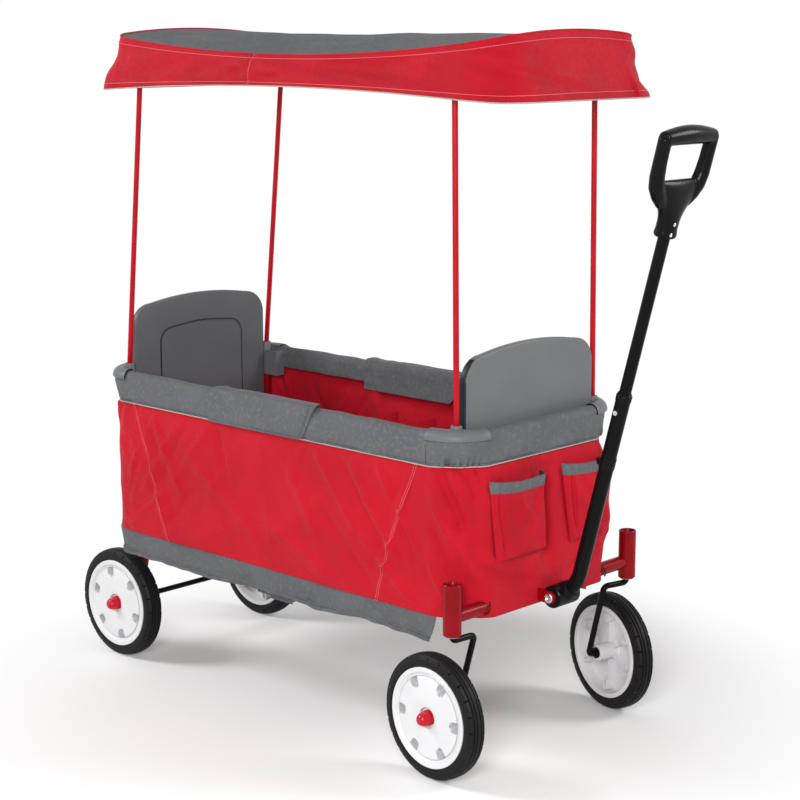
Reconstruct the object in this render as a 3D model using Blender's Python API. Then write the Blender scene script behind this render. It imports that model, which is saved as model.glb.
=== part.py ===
"""Folding wagon: a two seat fabric wagon with a canopy, a telescoping pull handle and
swivelling front wheels.

Metres, +Z up, +X towards the pull handle, +Y to the wagon's left. The pieces are modelled in
the wagon's own frame, with the rear axle at X = 0, the middle plane at Y = 0 and the ground at
Z = 0. One empty then carries them so that the origin is under the middle of the whole wagon.
"""
import bpy
import bmesh
from math import atan, cos, pi, radians, sin, sqrt
from mathutils import Vector

GAP = 0.0003                # between pieces that touch or seat on each other

# Wheels
WHEEL_R = 0.100
TYRE_W = 0.032
TYRE_GROOVE = 0.0015
TYRE_RIB = 0.0085           # between the grooves round the tread
DISC_R = 0.0797
DISC_W = 0.034
DISC_RIM = 0.0065           # thickness of the disc's outer ring
DISC_WEB = 0.006
HUB_R = 0.016
HUB_INBOARD = 0.030         # hub's inner end, from the wheel's middle plane
HUB_OUTBOARD = 0.0165
CAP_R = 0.0125
CAP_H = 0.018
AXLE_R = 0.005
WHEEL_SEGMENTS = 28

# Seat backs
SEAT_HALF_W = 0.155
SEAT_T = 0.014
SEAT_X = 0.8245             # middle of the front seat back
SEAT_HINGE_Z = 0.290
SEAT_TOP = 0.662
SEAT_SHOULDER = 0.010       # the top edge's fall from the middle to the corners
SEAT_CORNER_R = 0.042
SEAT_RECESS = (0.097, 0.400, 0.600)     # half width, low and high edge
SEAT_RECESS_DEPTH = 0.0015
SEAT_RECESS_TURN = 0.020
# (depth, inset) of the seat back's edge, from the inner face
SEAT_ROUNDING = ((0.0, 0.002), (0.002, 0.0), (0.009, 0.0), (0.014, 0.007))

# Widths follow the seat backs
POST_Y = SEAT_HALF_W + 0.0105
RIM_Y = POST_Y + 0.021
REAR_TRACK = 2 * (RIM_Y - 0.014)    # between the rear wheels' middle planes

# Front casters
CASTER_X = 0.8629
CASTER_Y = RIM_Y + 0.0303
CASTER_TUBE_R = 0.0143
CASTER_TUBE_Z = (0.2385, 0.3195)
CASTER_TUBE_RECESS = 0.016
CRANK_RUN = 0.047           # sideways step of the bent rod
CRANK_TRAIL = 0.0385
CRANK_R = 0.005
CRANK_DROP = 0.009          # from the tube's lower end to the step's middle
CASTER_YAW = {"left": radians(-14.1), "right": radians(-4.3)}

# End frames: front values, the rear frame mirrors them about MID_X
MID_X = 0.4275
HINGE_X = 0.7785            # fold hinge at the front end
FLOOR_Z = 0.2655            # height of the floor's hinges and of the lower tubes
CENTRE_PITCH = 0.036        # between the two middle hinges
POST_X = 0.8234
POST_R = 0.008
POST_BEND = 0.035           # height under the rim at which a post leans out to it
POST_TURN = 0.012
CROSS_X = 0.8600
CROSS_R = 0.011
STUB_SLOT = 0.0585          # how far in from the rim the cloth is open for a caster stub
STRUT_Y = SEAT_HALF_W - 0.055
STRUT_R = 0.007
ROD_R = 0.004               # hinge rods and pins
LEG_Y = RIM_Y - 0.0555
LEG_R = 0.009

# Rim
RIM_X = 0.8485
RIM_Z = 0.5295
RIM_TUBE_R = 0.009
SLEEVE_R = 0.0115
FRONT_CORNER_R = 0.0575
REAR_CORNER_R = 0.0435
LAP_LENGTH = 0.0112         # half lap at each rail hinge, from its pin
LAP_END = 0.006
PIN_REACH = 0.0074          # a rail pin's outer end, from the rail's middle
BAND_LOW = RIM_Z - 0.0415           # lower edge of the grey band
BAND_T = 0.0025

# Fabric
WALL_OUT = 0.0085           # outer face, outwards from the rim tube's middle
CLOTH_T = 0.003
RED_LOW = 0.2495
SKIRT_LOW = 0.206
SKIRT_X = (0.020, 0.808)
SKIRT_T = 0.002
SKIRT_SLANT = 0.016
FRONT_BULGE = 0.0175        # how far the front cloth swells over the cross tube
SWELL_TOP = 0.350
SWELL_FADE = 0.062          # height over which the swelling grows
SWELL_HALF_W = RIM_Y - 0.0215
SWELL_EDGE = 0.030
SWELL_LEVELS = tuple(SWELL_TOP - SWELL_FADE * part for part in (0.16, 0.32, 0.56, 0.81, 1.0, 1.32))

# Centre covers
COVER_X = (0.289, 0.565)
COVER_SLANT = 0.062
COVER_SLOT = 0.0125         # half the room inside
COVER_T = 0.003
COVER_TOP = RIM_Z + 0.016
COVER_LOW = (RIM_Z - 0.0235, RIM_Z - 0.0435)  # inner and outer wall

# Floor
FLOOR_HALF_W = SEAT_HALF_W + 0.015
BOARD_T = 0.005
BOARD_SETBACK = 0.0065       # from the end's hinge, so that the turning board clears the lugs
BEAM_LUG = 0.005             # reach of the centre beam's lugs past its hinges
LADDER_Y = SEAT_HALF_W - 0.035
LADDER_R = 0.007
BARREL_R = 0.009
BARREL_Y = (LADDER_Y - 0.020, SEAT_HALF_W - 0.010)
BRACKET_Y = (SEAT_HALF_W - 0.005, SEAT_HALF_W - 0.001)

# Canopy
CANOPY_X = (0.027, 0.915)
CANOPY_HALF_W = RIM_Y + 0.0135
CANOPY_FLARE = 0.020
CANOPY_CORNER_R = 0.050
CANOPY_HEM = (1.036, 1.051)     # at the ends and in the middle
CANOPY_BORDER = (1.126, 1.098)
CANOPY_CROWN = (1.138, 1.131)
CANOPY_T = 0.003
POLE_R = 0.0048
POLE_FOOT = RIM_Z + 0.012
POLE_RUN = 0.57             # about a pole's height, for where it meets the roof
POLE_SHORT = 0.0018         # keeps its square end clear of the sloping cloth
FRONT_POLE_LEAN = -0.0125       # forward shift for each metre of height
REAR_POLE_LEAN = 0.1013
CAP_SHELL = 0.003
CAP_DROP = 0.008            # how far the cap reaches down the outside
CAP_BOSS_R = 0.0090
CAP_BOSS_TOP = RIM_Z + 0.0205

# Handle
PIVOT_X = 0.8990
PIVOT_Z = 0.2640
BARREL_HALF_W = 0.0257
KNUCKLE_R = 0.018
KNUCKLE_SOCKET = (0.0195, 0.0255)   # the tube's seat and the socket's mouth, from the pivot
EAR_T = 0.004
EAR_R = 0.010
HANDLE_SLOPE = 0.269            # forward shift for each metre of height
HANDLE_ELBOW_Z = 0.286
HANDLE_FOOT = (0.9480, 0.3530)  # a point on the straight tube's middle line
LOWER_R = 0.0116
LOWER_BORE = 0.0096
UPPER_R = 0.0092
COLLAR_R = 0.0126
COLLAR_L = 0.010
LOWER_TOP_Z = 0.592
BORE_DEPTH = 0.250
UPPER_INSERT = 0.055
GRIP_FOOT_Z = 0.849
GRIP_SOCKET = 0.040
GRIP_T = 0.029
BUTTON_Z = 0.572
BUTTON_R = 0.0038
CLIP_Z = 0.490

# Front pockets, measured on the front cloth
POCKET_Y = (0.018, RIM_Y - 0.0345)
POCKET_Z = (0.330, 0.455)
POCKET_TAPER = 0.020
POCKET_DEPTH = (0.006, 0.020)
POCKET_T = 0.0015

HANDLE_ANGLE = atan(HANDLE_SLOPE)
HANDLE_DIR = Vector((sin(HANDLE_ANGLE), 0, cos(HANDLE_ANGLE)))
GRIP_TOP_S = 0.1625             # the grip's far end, along the handle from its foot

RED = (0.60, 0.02, 0.04, 1)
RED_CLOTH = (0.56, 0.025, 0.045, 1)
GREY_CLOTH = (0.16, 0.17, 0.18, 1)
GREY_PLASTIC = (0.19, 0.20, 0.21, 1)
BLACK = (0.012, 0.012, 0.012, 1)
WHITE = (0.82, 0.82, 0.82, 1)
RUBBER = (0.02, 0.02, 0.02, 1)
STEEL = (0.6, 0.6, 0.6, 1)


def clear_scene():
    for item in list(bpy.data.objects):
        bpy.data.objects.remove(item, do_unlink=True)


def material(name, colour, roughness, metallic=0.0):
    item = bpy.data.materials.get(name)
    if item is None:
        item = bpy.data.materials.new(name)
        item.use_nodes = True
        shader = item.node_tree.nodes["Principled BSDF"]
        shader.inputs["Base Color"].default_value = colour
        shader.inputs["Roughness"].default_value = roughness
        shader.inputs["Metallic"].default_value = metallic
    return item


class Pivot:
    """An empty on a joint's axis. Pieces under it are still modelled in the wagon's frame."""

    def __init__(self, name, at, parent=None, yaw=0.0):
        self.at = Vector(at)
        self.empty = bpy.data.objects.new(name, None)
        bpy.context.collection.objects.link(self.empty)
        if parent is not None:
            self.empty.parent = parent.empty
            self.empty.location = self.at - parent.at
        else:
            self.empty.location = -self.at
            self.at = Vector((0, 0, 0))
        self.empty.rotation_euler = (0, 0, yaw)


def piece(name, bm, look, pivot, smooth_angle=35):
    """Turns a bmesh in the wagon's frame into a named object under its pivot."""
    bmesh.ops.translate(bm, verts=bm.verts, vec=-pivot.at)
    bmesh.ops.recalc_face_normals(bm, faces=bm.faces)
    mesh = bpy.data.meshes.new(name)
    bm.to_mesh(mesh)
    bm.free()
    mesh.materials.append(material(*look))
    mesh.shade_smooth()
    mesh.set_sharp_from_angle(angle=radians(smooth_angle))
    item = bpy.data.objects.new(name, mesh)
    bpy.context.collection.objects.link(item)
    item.parent = pivot.empty
    return item


def combine(item, pieces, operation, pivot):
    """Joins or cuts an object with other solids, in turn, by Boolean modifiers."""
    for number, bm in enumerate(pieces):
        tool = piece(f"{item.name}_{operation.lower()}_{number}", bm, RED_PAINT, pivot)
        tool.hide_render = True
        tool.display_type = "WIRE"
        step = item.modifiers.new(f"{operation.lower()} {number}", "BOOLEAN")
        step.operation = operation
        step.solver = "EXACT"
        step.object = tool


def loft(rings, closed=False):
    """Skins a list of point rings. Open lofts get flat ends."""
    bm = bmesh.new()
    rows = [[bm.verts.new(point) for point in ring] for ring in rings]
    count = len(rows[0])
    last = len(rows) if closed else len(rows) - 1
    for row in range(last):
        here, there = rows[row], rows[(row + 1) % len(rows)]
        for i in range(count):
            j = (i + 1) % count
            bm.faces.new((here[i], here[j], there[j], there[i]))
    if not closed:
        bm.faces.new(rows[0])
        bm.faces.new(rows[-1])
    return bm


def box(x, y, z):
    ring = [(x[0], y[0]), (x[1], y[0]), (x[1], y[1]), (x[0], y[1])]
    return loft([[(px, py, level) for px, py in ring] for level in z])


def prism(outline, axis, span):
    """Extrudes a 2D outline along X, Y or Z. The outline's axes are the other two, in order."""
    rings = []
    for level in span:
        ring = []
        for a, b in outline:
            point = [a, b]
            point.insert("XYZ".index(axis), level)
            ring.append(point)
        rings.append(ring)
    return loft(rings)


def rod(start, end, radius, sides=12):
    return pipe([Vector(start), Vector(end)], radius, sides)


def pipe(path, radius, sides=12):
    """A round bar along a path, with the section turned as little as possible."""
    path = [Vector(point) for point in path]
    tangents = []
    for i in range(len(path)):
        before = path[max(i - 1, 0)]
        after = path[min(i + 1, len(path) - 1)]
        tangents.append((after - before).normalized())
    side = Vector((0, 0, 1)).cross(tangents[0])
    if side.length < 0.001:
        side = Vector((0, 1, 0))
    rings = []
    for point, tangent in zip(path, tangents):
        side = (side - tangent * side.dot(tangent)).normalized()
        other = tangent.cross(side)
        turn = [2 * pi * k / sides for k in range(sides)]
        rings.append([point + (side * cos(a) + other * sin(a)) * radius for a in turn])
    return loft(rings)


def rounded(points, radius, steps=6):
    """Replaces the inner corners of a path by arcs."""
    points = [Vector(point) for point in points]
    out = [points[0]]
    for before, corner, after in zip(points, points[1:], points[2:]):
        a = (before - corner).normalized()
        b = (after - corner).normalized()
        half = a.angle(b) / 2
        reach = radius / (sin(half) / cos(half))
        start, end = corner + a * reach, corner + b * reach
        centre = corner + (a + b).normalized() * (radius / sin(half))
        for k in range(steps + 1):
            mix = start.lerp(end, k / steps) - centre
            out.append(centre + mix.normalized() * radius)
    out.append(points[-1])
    return out


def turned(profile, centre, closed, segments=WHEEL_SEGMENTS):
    """Turns a profile of (radius, offset) about a line along +Y through the centre."""
    bm = bmesh.new()
    centre = Vector(centre)
    rows = []
    for radius, offset in profile:
        if radius == 0:
            rows.append([bm.verts.new(centre + Vector((0, offset, 0)))])
            continue
        row = []
        for k in range(segments):
            a = 2 * pi * k / segments
            row.append(bm.verts.new(centre + Vector((radius * cos(a), offset, radius * sin(a)))))
        rows.append(row)
    pairs = list(zip(rows, rows[1:]))
    if closed:
        pairs.append((rows[-1], rows[0]))
    for here, there in pairs:
        for k in range(segments):
            j = (k + 1) % segments
            corners = [here[k % len(here)], here[j % len(here)],
                       there[j % len(there)], there[k % len(there)]]
            bm.faces.new(list(dict.fromkeys(corners)))
    return bm


RED_PAINT = ("red_paint", RED, 0.35, 0.0)
RED_FABRIC = ("red_fabric", RED_CLOTH, 0.75, 0.0)
GREY_FABRIC = ("grey_fabric", GREY_CLOTH, 0.85, 0.0)
GREY_MOULDING = ("grey_plastic", GREY_PLASTIC, 0.45, 0.0)
BLACK_PAINT = ("black_paint", BLACK, 0.30, 0.0)
BLACK_PLASTIC = ("black_plastic", BLACK, 0.40, 0.0)
WHITE_PLASTIC = ("white_plastic", WHITE, 0.45, 0.0)
TYRE_RUBBER = ("tyre_rubber", RUBBER, 0.70, 0.0)
RED_PLASTIC = ("red_plastic", RED, 0.30, 0.0)
BRIGHT_STEEL = ("bright_steel", STEEL, 0.25, 1.0)


def mirror_x(x, front):
    """The rear end repeats the front end about the wagon's middle."""
    return x if front else 2 * MID_X - x


def rim_point(angle_side, corner_r, extra):
    """A point of the front rim's left corner, for an angle from the +X direction."""
    centre = Vector((RIM_X - corner_r, RIM_Y - corner_r, 0))
    return centre + Vector((cos(angle_side), sin(angle_side), 0)) * (corner_r + extra)


def rim_path(front, reach, extra=0.0, steps=6):
    """The end rim's middle line, from the left side round the end to the right side.

    reach is the X at which it stops on the sides, and extra moves it outwards.
    """
    corner_r = FRONT_CORNER_R if front else REAR_CORNER_R
    left = [Vector((reach, RIM_Y + extra, 0))]
    for k in range(steps + 1):
        left.append(rim_point(pi / 2 * (1 - k / steps), corner_r, extra))
    right = [Vector((p.x, -p.y, 0)) for p in reversed(left)]
    path = left + right
    return [Vector((mirror_x(p.x, front), p.y, 0)) for p in path]


def sweep_flat(front, reach, profile, steps=6):
    """Sweeps a closed profile of (outwards, height) points along the end rim."""
    columns = [rim_path(front, reach, out, steps) for out, _ in profile]
    return loft([[(column[k].x, column[k].y, level) for column, (_, level) in zip(columns, profile)]
                 for k in range(len(columns[0]))])


def circle(radius, sides=12, out=0.0, level=RIM_Z):
    turn = [2 * pi * k / sides for k in range(sides)]
    return [(out + radius * cos(a), level + radius * sin(a)) for a in turn]


def wheel(name, centre, side, pivot):
    """A tyre, a disc and a hub cap. side is +1 where the outside faces +Y."""
    tread = TYRE_W / 2
    profile = [(DISC_R + GAP, 0.001 - tread), (WHEEL_R - 0.010, -tread)]
    for middle in (-TYRE_RIB, 0, TYRE_RIB):
        top = WHEEL_R if middle == 0 else WHEEL_R - 0.001
        profile += [(top, middle - 0.002), (top - TYRE_GROOVE, middle), (top, middle + 0.002)]
    profile += [(WHEEL_R - 0.010, tread), (DISC_R + GAP, tread - 0.001)]
    piece(f"{name}_tyre", turned(profile, centre, True), TYRE_RUBBER, pivot)
    half = DISC_W / 2
    bore = AXLE_R + GAP
    ring = DISC_R - DISC_RIM
    profile = [(bore, -HUB_INBOARD), (HUB_R - 0.002, -HUB_INBOARD), (HUB_R, half - DISC_WEB - 0.004),
               (ring - 0.003, half - DISC_WEB - 0.004), (ring, -half), (DISC_R, -half), (DISC_R, half),
               (ring, half), (ring - 0.004, half - 0.004), (HUB_R + 0.008, half - 0.003),
               (HUB_R, HUB_OUTBOARD), (bore, HUB_OUTBOARD)]
    profile = [(radius, side * offset) for radius, offset in profile]
    piece(f"{name}_disc", turned(profile, centre, True), WHITE_PLASTIC, pivot)
    foot = HUB_OUTBOARD + GAP
    profile = [(0, foot), (CAP_R, foot), (CAP_R, foot + CAP_H * 0.3),
               (CAP_R * 0.86, foot + CAP_H * 0.62), (CAP_R * 0.5, foot + CAP_H * 0.9),
               (0, foot + CAP_H)]
    profile = [(radius, side * offset) for radius, offset in profile]
    piece(f"{name}_hub_cap", turned(profile, centre, False, 16), RED_PLASTIC, pivot)


def caster(name, side, front_end):
    """The bent rod that carries a front wheel, turning in the frame's upright tube."""
    swivel = Pivot(f"{name}_caster", (CASTER_X, side * CASTER_Y, 0), front_end, CASTER_YAW[name])
    axis = Vector((CASTER_X, side * CASTER_Y, 0))
    step = CASTER_TUBE_Z[0] - CRANK_DROP
    inboard = Vector((0, -side * CRANK_RUN, 0))
    hub = Vector((-CRANK_TRAIL, 0, WHEEL_R))
    path = [(0, 0, CASTER_TUBE_Z[1] - CASTER_TUBE_RECESS), (0, 0, step),
            inboard + Vector((0, 0, step)), inboard + hub,
            hub + Vector((0, side * (HUB_OUTBOARD - 0.003), 0))]
    path = [axis + Vector(point) for point in path]
    piece(f"{name}_caster_crank", pipe(rounded(path, 0.0085, 4), CRANK_R), BLACK_PAINT, swivel)
    centre = axis + hub
    spin = Pivot(f"front_{name}_wheel", centre, swivel)
    wheel(f"front_{name}", centre, side, spin)


def end_frame(front, pivot):
    """The welded tube frame of one end: lower bar, posts, rim tube and rail hinge laps."""
    name = "front_frame" if front else "rear_frame"

    def at(x, y, z):
        return Vector((mirror_x(x, front), y, z))

    parts = []
    u_path = post_path(front, 1) + list(reversed(post_path(front, -1)))
    body = piece(name, pipe(rounded(u_path, POST_TURN, 3), POST_R), RED_PAINT, pivot)
    parts.append(sweep_flat(front, HINGE_X - LAP_END, circle(RIM_TUBE_R)))
    parts.append(rod(at(HINGE_X, -BRACKET_Y[0] - 0.002, FLOOR_Z), at(HINGE_X, BRACKET_Y[0] + 0.002, FLOOR_Z),
                     ROD_R))
    for side in (1, -1):
        inner, outer = sorted(side * y for y in BRACKET_Y)
        x = sorted((mirror_x(HINGE_X - 0.007, front), mirror_x(POST_X, front)))
        parts.append(box(x, (inner, outer), (FLOOR_Z - 0.007, FLOOR_Z + 0.007)))
        boss = (at(SEAT_X, side * (SEAT_HALF_W + 0.002), SEAT_HINGE_Z),
                at(SEAT_X, side * POST_Y, SEAT_HINGE_Z))
        parts.append(rod(*boss, 0.009))
    if front:
        parts.append(rod((CROSS_X, -CASTER_Y + 0.004, FLOOR_Z), (CROSS_X, CASTER_Y - 0.004, FLOOR_Z), CROSS_R,
                         16))
        for side in (1, -1):
            foot = (CASTER_X, side * CASTER_Y, CASTER_TUBE_Z[0])
            top = (CASTER_X, side * CASTER_Y, CASTER_TUBE_Z[1])
            parts.append(rod(foot, top, CASTER_TUBE_R, 20))
            parts.append(rod((POST_X, side * STRUT_Y, FLOOR_Z), (CROSS_X, side * STRUT_Y, FLOOR_Z), STRUT_R))
            ear = [(CROSS_X, FLOOR_Z - EAR_R), (PIVOT_X, PIVOT_Z - EAR_R)]
            for k in range(1, 6):
                a = -pi / 2 + pi * k / 6
                ear.append((PIVOT_X + EAR_R * cos(a), PIVOT_Z + EAR_R * sin(a)))
            ear += [(PIVOT_X, PIVOT_Z + EAR_R), (CROSS_X, FLOOR_Z + EAR_R)]
            near = BARREL_HALF_W + GAP
            parts.append(prism(ear, "Y", sorted((side * near, side * (near + EAR_T)))))
    else:
        for side in (1, -1):
            parts.append(rod(at(POST_X, side * LEG_Y, FLOOR_Z), (0, side * LEG_Y, WHEEL_R), LEG_R))
            parts.append(rod((0, side * (LEG_Y - 0.011), WHEEL_R), (0, side * (LEG_Y + 0.011), WHEEL_R), 0.012,
                             16))
    combine(body, parts, "UNION", pivot)
    cuts = []
    for side in (1, -1):
        lap_x = sorted((mirror_x(HINGE_X - 0.05, front), mirror_x(HINGE_X + LAP_LENGTH, front)))
        outside = sorted((side * (RIM_Y - GAP), side * (RIM_Y + 0.03)))
        cuts.append(box(lap_x, outside, (RIM_Z - 0.02, RIM_Z + 0.02)))
        cuts.append(rod(at(SEAT_X, side * (SEAT_HALF_W - 0.01), SEAT_HINGE_Z),
                        at(SEAT_X, side * (SEAT_HALF_W + 0.0055), SEAT_HINGE_Z), ROD_R + GAP))
        if front:
            x, y = CASTER_X, side * CASTER_Y
            cuts.append(rod((x, y, CASTER_TUBE_Z[0] - 0.01), (x, y, CASTER_TUBE_Z[1] - 0.005), CRANK_R + GAP))
            recess = CASTER_TUBE_Z[1] - CASTER_TUBE_RECESS + GAP
            cuts.append(rod((x, y, recess), (x, y, CASTER_TUBE_Z[1] + 0.01), CASTER_TUBE_R - 0.003, 16))
    if front:
        cuts.append(rod((PIVOT_X, -0.05, PIVOT_Z), (PIVOT_X, 0.05, PIVOT_Z), ROD_R + GAP))
    else:
        cuts.append(rod((0, -LEG_Y - 0.03, WHEEL_R), (0, LEG_Y + 0.03, WHEEL_R), AXLE_R + GAP))
    combine(body, cuts, "DIFFERENCE", pivot)
    pins = [rod(at(HINGE_X, side * (RIM_Y - 0.003), RIM_Z), at(HINGE_X, side * (RIM_Y + PIN_REACH), RIM_Z), ROD_R)
            for side in (1, -1)]
    combine(body, pins, "UNION", pivot)


def sleeve(rows):
    """A tube with a hanging flap. Each row has 14 outer points, then the 12 of the bore."""
    bm = bmesh.new()
    skins = [[bm.verts.new(p) for p in row] for row in rows]
    for here, there in zip(skins, skins[1:]):
        for first, count in ((0, 14), (14, 12)):
            for i in range(count):
                a, b = first + i, first + (i + 1) % count
                bm.faces.new((here[a], here[b], there[b], there[a]))
    for skin in (skins[0], skins[-1]):
        outer, bore = skin[:14], skin[14:]
        bm.faces.new(outer[:4])
        rim = [outer[0]] + outer[3:]
        for i in range(12):
            j = (i + 1) % 12
            bm.faces.new((rim[i], rim[j], bore[j], bore[i]))
    return bm


def sleeve_profile():
    """(outwards, height) points of the band: flap first, then round the sleeve, then the bore."""
    flap_in = SLEEVE_R - BAND_T
    meet = atan(sqrt(SLEEVE_R ** 2 - flap_in ** 2) / flap_in)
    angles = [-meet] + [-2 * pi * k / 12 for k in range(2, 12)]
    outer = [(SLEEVE_R, RIM_Z), (SLEEVE_R, BAND_LOW), (flap_in, BAND_LOW)]
    outer += [(SLEEVE_R * cos(a), RIM_Z + SLEEVE_R * sin(a)) for a in angles]
    bore = [-2 * pi * k / 12 for k in range(12)]
    return outer + [((RIM_TUBE_R + GAP) * cos(a), RIM_Z + (RIM_TUBE_R + GAP) * sin(a)) for a in bore]


def post_path(front, side):
    """The middle line of a post, from under the rim tube down to the lower bar."""
    corner_r = FRONT_CORNER_R if front else REAR_CORNER_R
    heart = Vector((RIM_X - corner_r, RIM_Y - corner_r))
    lean = heart + (Vector((POST_X, POST_Y)) - heart).normalized() * corner_r
    path = [(lean.x, lean.y, RIM_Z), (POST_X, POST_Y, RIM_Z - POST_BEND), (POST_X, POST_Y, FLOOR_Z)]
    return [Vector((mirror_x(x, front), side * y, z)) for x, y, z in path]


def rim_band(front, pivot):
    """The padded grey sleeve round the end rim, with its hanging edge."""
    name = "front_rim_band" if front else "rear_rim_band"
    columns = [(rim_path(front, HINGE_X + LAP_LENGTH + GAP, out), level) for out, level in sleeve_profile()]
    rows = [[(line[k].x, line[k].y, level) for line, level in columns] for k in range(len(columns[0][0]))]
    body = piece(name, sleeve(rows), GREY_FABRIC, pivot)
    cuts = [pipe(rounded(post_path(front, side), POST_TURN, 3)[:-1], POST_R + 0.0008) for side in (1, -1)]
    combine(body, cuts, "DIFFERENCE", pivot)


def corner_cap(front, side, pivot):
    """A moulded cap over a rim corner, with the socket that a canopy pole stands in."""
    where = ("front" if front else "rear", "left" if side > 0 else "right")
    inner = SLEEVE_R + GAP
    angles = [radians(30 * k) for k in range(5)]

    def skin(radius):
        return [(radius, -CAP_DROP)] + [(radius * cos(a), radius * sin(a)) for a in angles]

    section = skin(inner + CAP_SHELL) + list(reversed(skin(inner)))
    corner = slice(2, 8) if front else slice(1, 8)

    def shell(points, part):
        columns = [(rim_path(front, HINGE_X, out)[part], RIM_Z + level) for out, level in points]
        return loft([[(line[k].x, side * line[k].y, level) for line, level in columns]
                     for k in range(len(columns[0][0]))])

    post = (mirror_x(POST_X, front), side * POST_Y)
    boss = rod((*post, RIM_Z + 0.003), (*post, CAP_BOSS_TOP), CAP_BOSS_R, 16)
    body = piece(f"{where[0]}_{where[1]}_corner_cap", boss, GREY_MOULDING, pivot)
    clear = inner + CAP_SHELL / 2
    round_bar = circle(clear, level=0.0)
    combine(body, [shell(round_bar, slice(1, 8))], "DIFFERENCE", pivot)
    combine(body, [shell(section, corner)], "UNION", pivot)
    hole = rod((*post, POLE_FOOT - GAP), (*post, CAP_BOSS_TOP + 0.01), POLE_R + (0.0005 if front else 0.0016), 16)
    combine(body, [hole], "DIFFERENCE", pivot)


def swell(level, y=0.0):
    """How far the front cloth swells outwards over the cross tube."""
    height = min(max((SWELL_TOP - level) / SWELL_FADE, 0.0), 1.0)
    width = min(max((SWELL_HALF_W - abs(y)) / SWELL_EDGE, 0.0), 1.0)
    return FRONT_BULGE * height * height * (3 - 2 * height) * width * width * (3 - 2 * width)


def end_fabric(front, pivot):
    """The red cloth of one end from hinge to hinge, closed below by a floor flap."""
    name = "front_fabric" if front else "rear_fabric"
    levels = [BAND_LOW - GAP, SWELL_TOP, *SWELL_LEVELS, RED_LOW]
    reach = HINGE_X - GAP

    def row(out, level):
        points = rim_path(front, reach, out)
        half = len(points) // 2
        across = [Vector((points[half].x, points[half].y * part, 0)) for part in (-0.8, -0.4, 0, 0.4, 0.8)]
        points = points[:half] + across + points[half:]
        return [(p.x + (swell(level, p.y) if front and p.x > MID_X else 0), p.y, level) for p in points]

    bm = bmesh.new()
    sheets = []
    for out, bottom in ((WALL_OUT, RED_LOW), (WALL_OUT - CLOTH_T, RED_LOW + CLOTH_T)):
        rows = [[bm.verts.new(p) for p in row(out, max(level, bottom))] for level in levels]
        for here, there in zip(rows, rows[1:]):
            for i in range(len(here) - 1):
                bm.faces.new((here[i], here[i + 1], there[i + 1], there[i]))
        bm.faces.new(rows[-1])
        border = rows[0] + [line[-1] for line in rows[1:]] + [line[0] for line in reversed(rows[1:])]
        sheets.append(border)
    count = len(sheets[0])
    for i in range(count):
        j = (i + 1) % count
        bm.faces.new((sheets[0][i], sheets[0][j], sheets[1][j], sheets[1][i]))
    body = piece(name, bm, RED_FABRIC, pivot)
    cuts = []
    for side in (1, -1):
        if front:
            cuts.append(rod((CROSS_X, side * (RIM_Y - STUB_SLOT), FLOOR_Z), (CROSS_X, side * CASTER_Y, FLOOR_Z),
                            CROSS_R + 0.0012, 16))
            ear = sorted(side * y for y in (BARREL_HALF_W - 0.0005, BARREL_HALF_W + EAR_T + 0.0012))
            cuts.append(box((CROSS_X + 0.004, CROSS_X + 0.022), ear, (FLOOR_Z - 0.0122, FLOOR_Z + 0.0122)))
        else:
            slope = mirror_x(POST_X, False) / (FLOOR_Z - WHEEL_R)
            spots = [Vector((slope * (z - WHEEL_R), side * LEG_Y, z)) for z in (RED_LOW - 0.02, FLOOR_Z + 0.01)]
            cuts.append(rod(*spots, LEG_R + 0.001))
    combine(body, cuts, "DIFFERENCE", pivot)


def side_cloth(side, root):
    """Red side wall with its floor lip, the grey rim band over the rails, and the skirt."""
    name = "left" if side > 0 else "right"
    x = (mirror_x(HINGE_X, False) + 2 * GAP, HINGE_X - 2 * GAP)
    outer = RIM_Y + WALL_OUT
    lip = FLOOR_HALF_W + 0.003
    wall = [(lip, RED_LOW), (outer, RED_LOW), (outer, BAND_LOW - GAP), (outer - CLOTH_T, BAND_LOW - GAP),
            (outer - CLOTH_T, RED_LOW + CLOTH_T), (lip, RED_LOW + CLOTH_T)]
    piece(f"{name}_side_fabric", prism([(side * y, z) for y, z in wall], "X", x), RED_FABRIC, root)

    reach = (mirror_x(HINGE_X, False) - LAP_LENGTH, HINGE_X + LAP_LENGTH)
    rows = [[(end, side * (RIM_Y + out), level) for out, level in sleeve_profile()] for end in reach]
    body = piece(f"{name}_rim_band", sleeve(rows), GREY_FABRIC, root)
    inner = sorted((side * (RIM_Y - 0.03), side * (RIM_Y + SLEEVE_R - BAND_T)))
    cuts = [box((COVER_X[0] - GAP, COVER_X[1] + GAP), inner, (RIM_Z - 0.03, RIM_Z + 0.03)),
            box((COVER_X[0] - GAP, COVER_X[1] + GAP), sorted((side * (RIM_Y - 0.03), side * (RIM_Y + 0.03))),
                (RIM_Z, RIM_Z + 0.03))]
    combine(body, cuts, "DIFFERENCE", root)

    rings = []
    count = 36
    skirt_y = outer - 0.0005
    for k in range(count + 1):
        share = k / count
        ring = []
        for z, depth in ((SKIRT_LOW, 1.0), (RED_LOW - GAP, 0.0)):
            x_end = SKIRT_X[1] - SKIRT_SLANT * depth
            px = SKIRT_X[0] + (x_end - SKIRT_X[0]) * share
            wave = 0.0022 * depth * sin(2 * pi * 5.5 * share) * sin(pi * share)
            ring.append((px, side * (skirt_y + wave), z))
            ring.append((px, side * (skirt_y + wave - SKIRT_T), z))
        rings.append([ring[0], ring[1], ring[3], ring[2]])
    piece(f"{name}_skirt", loft(rings), GREY_FABRIC, root)


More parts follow.
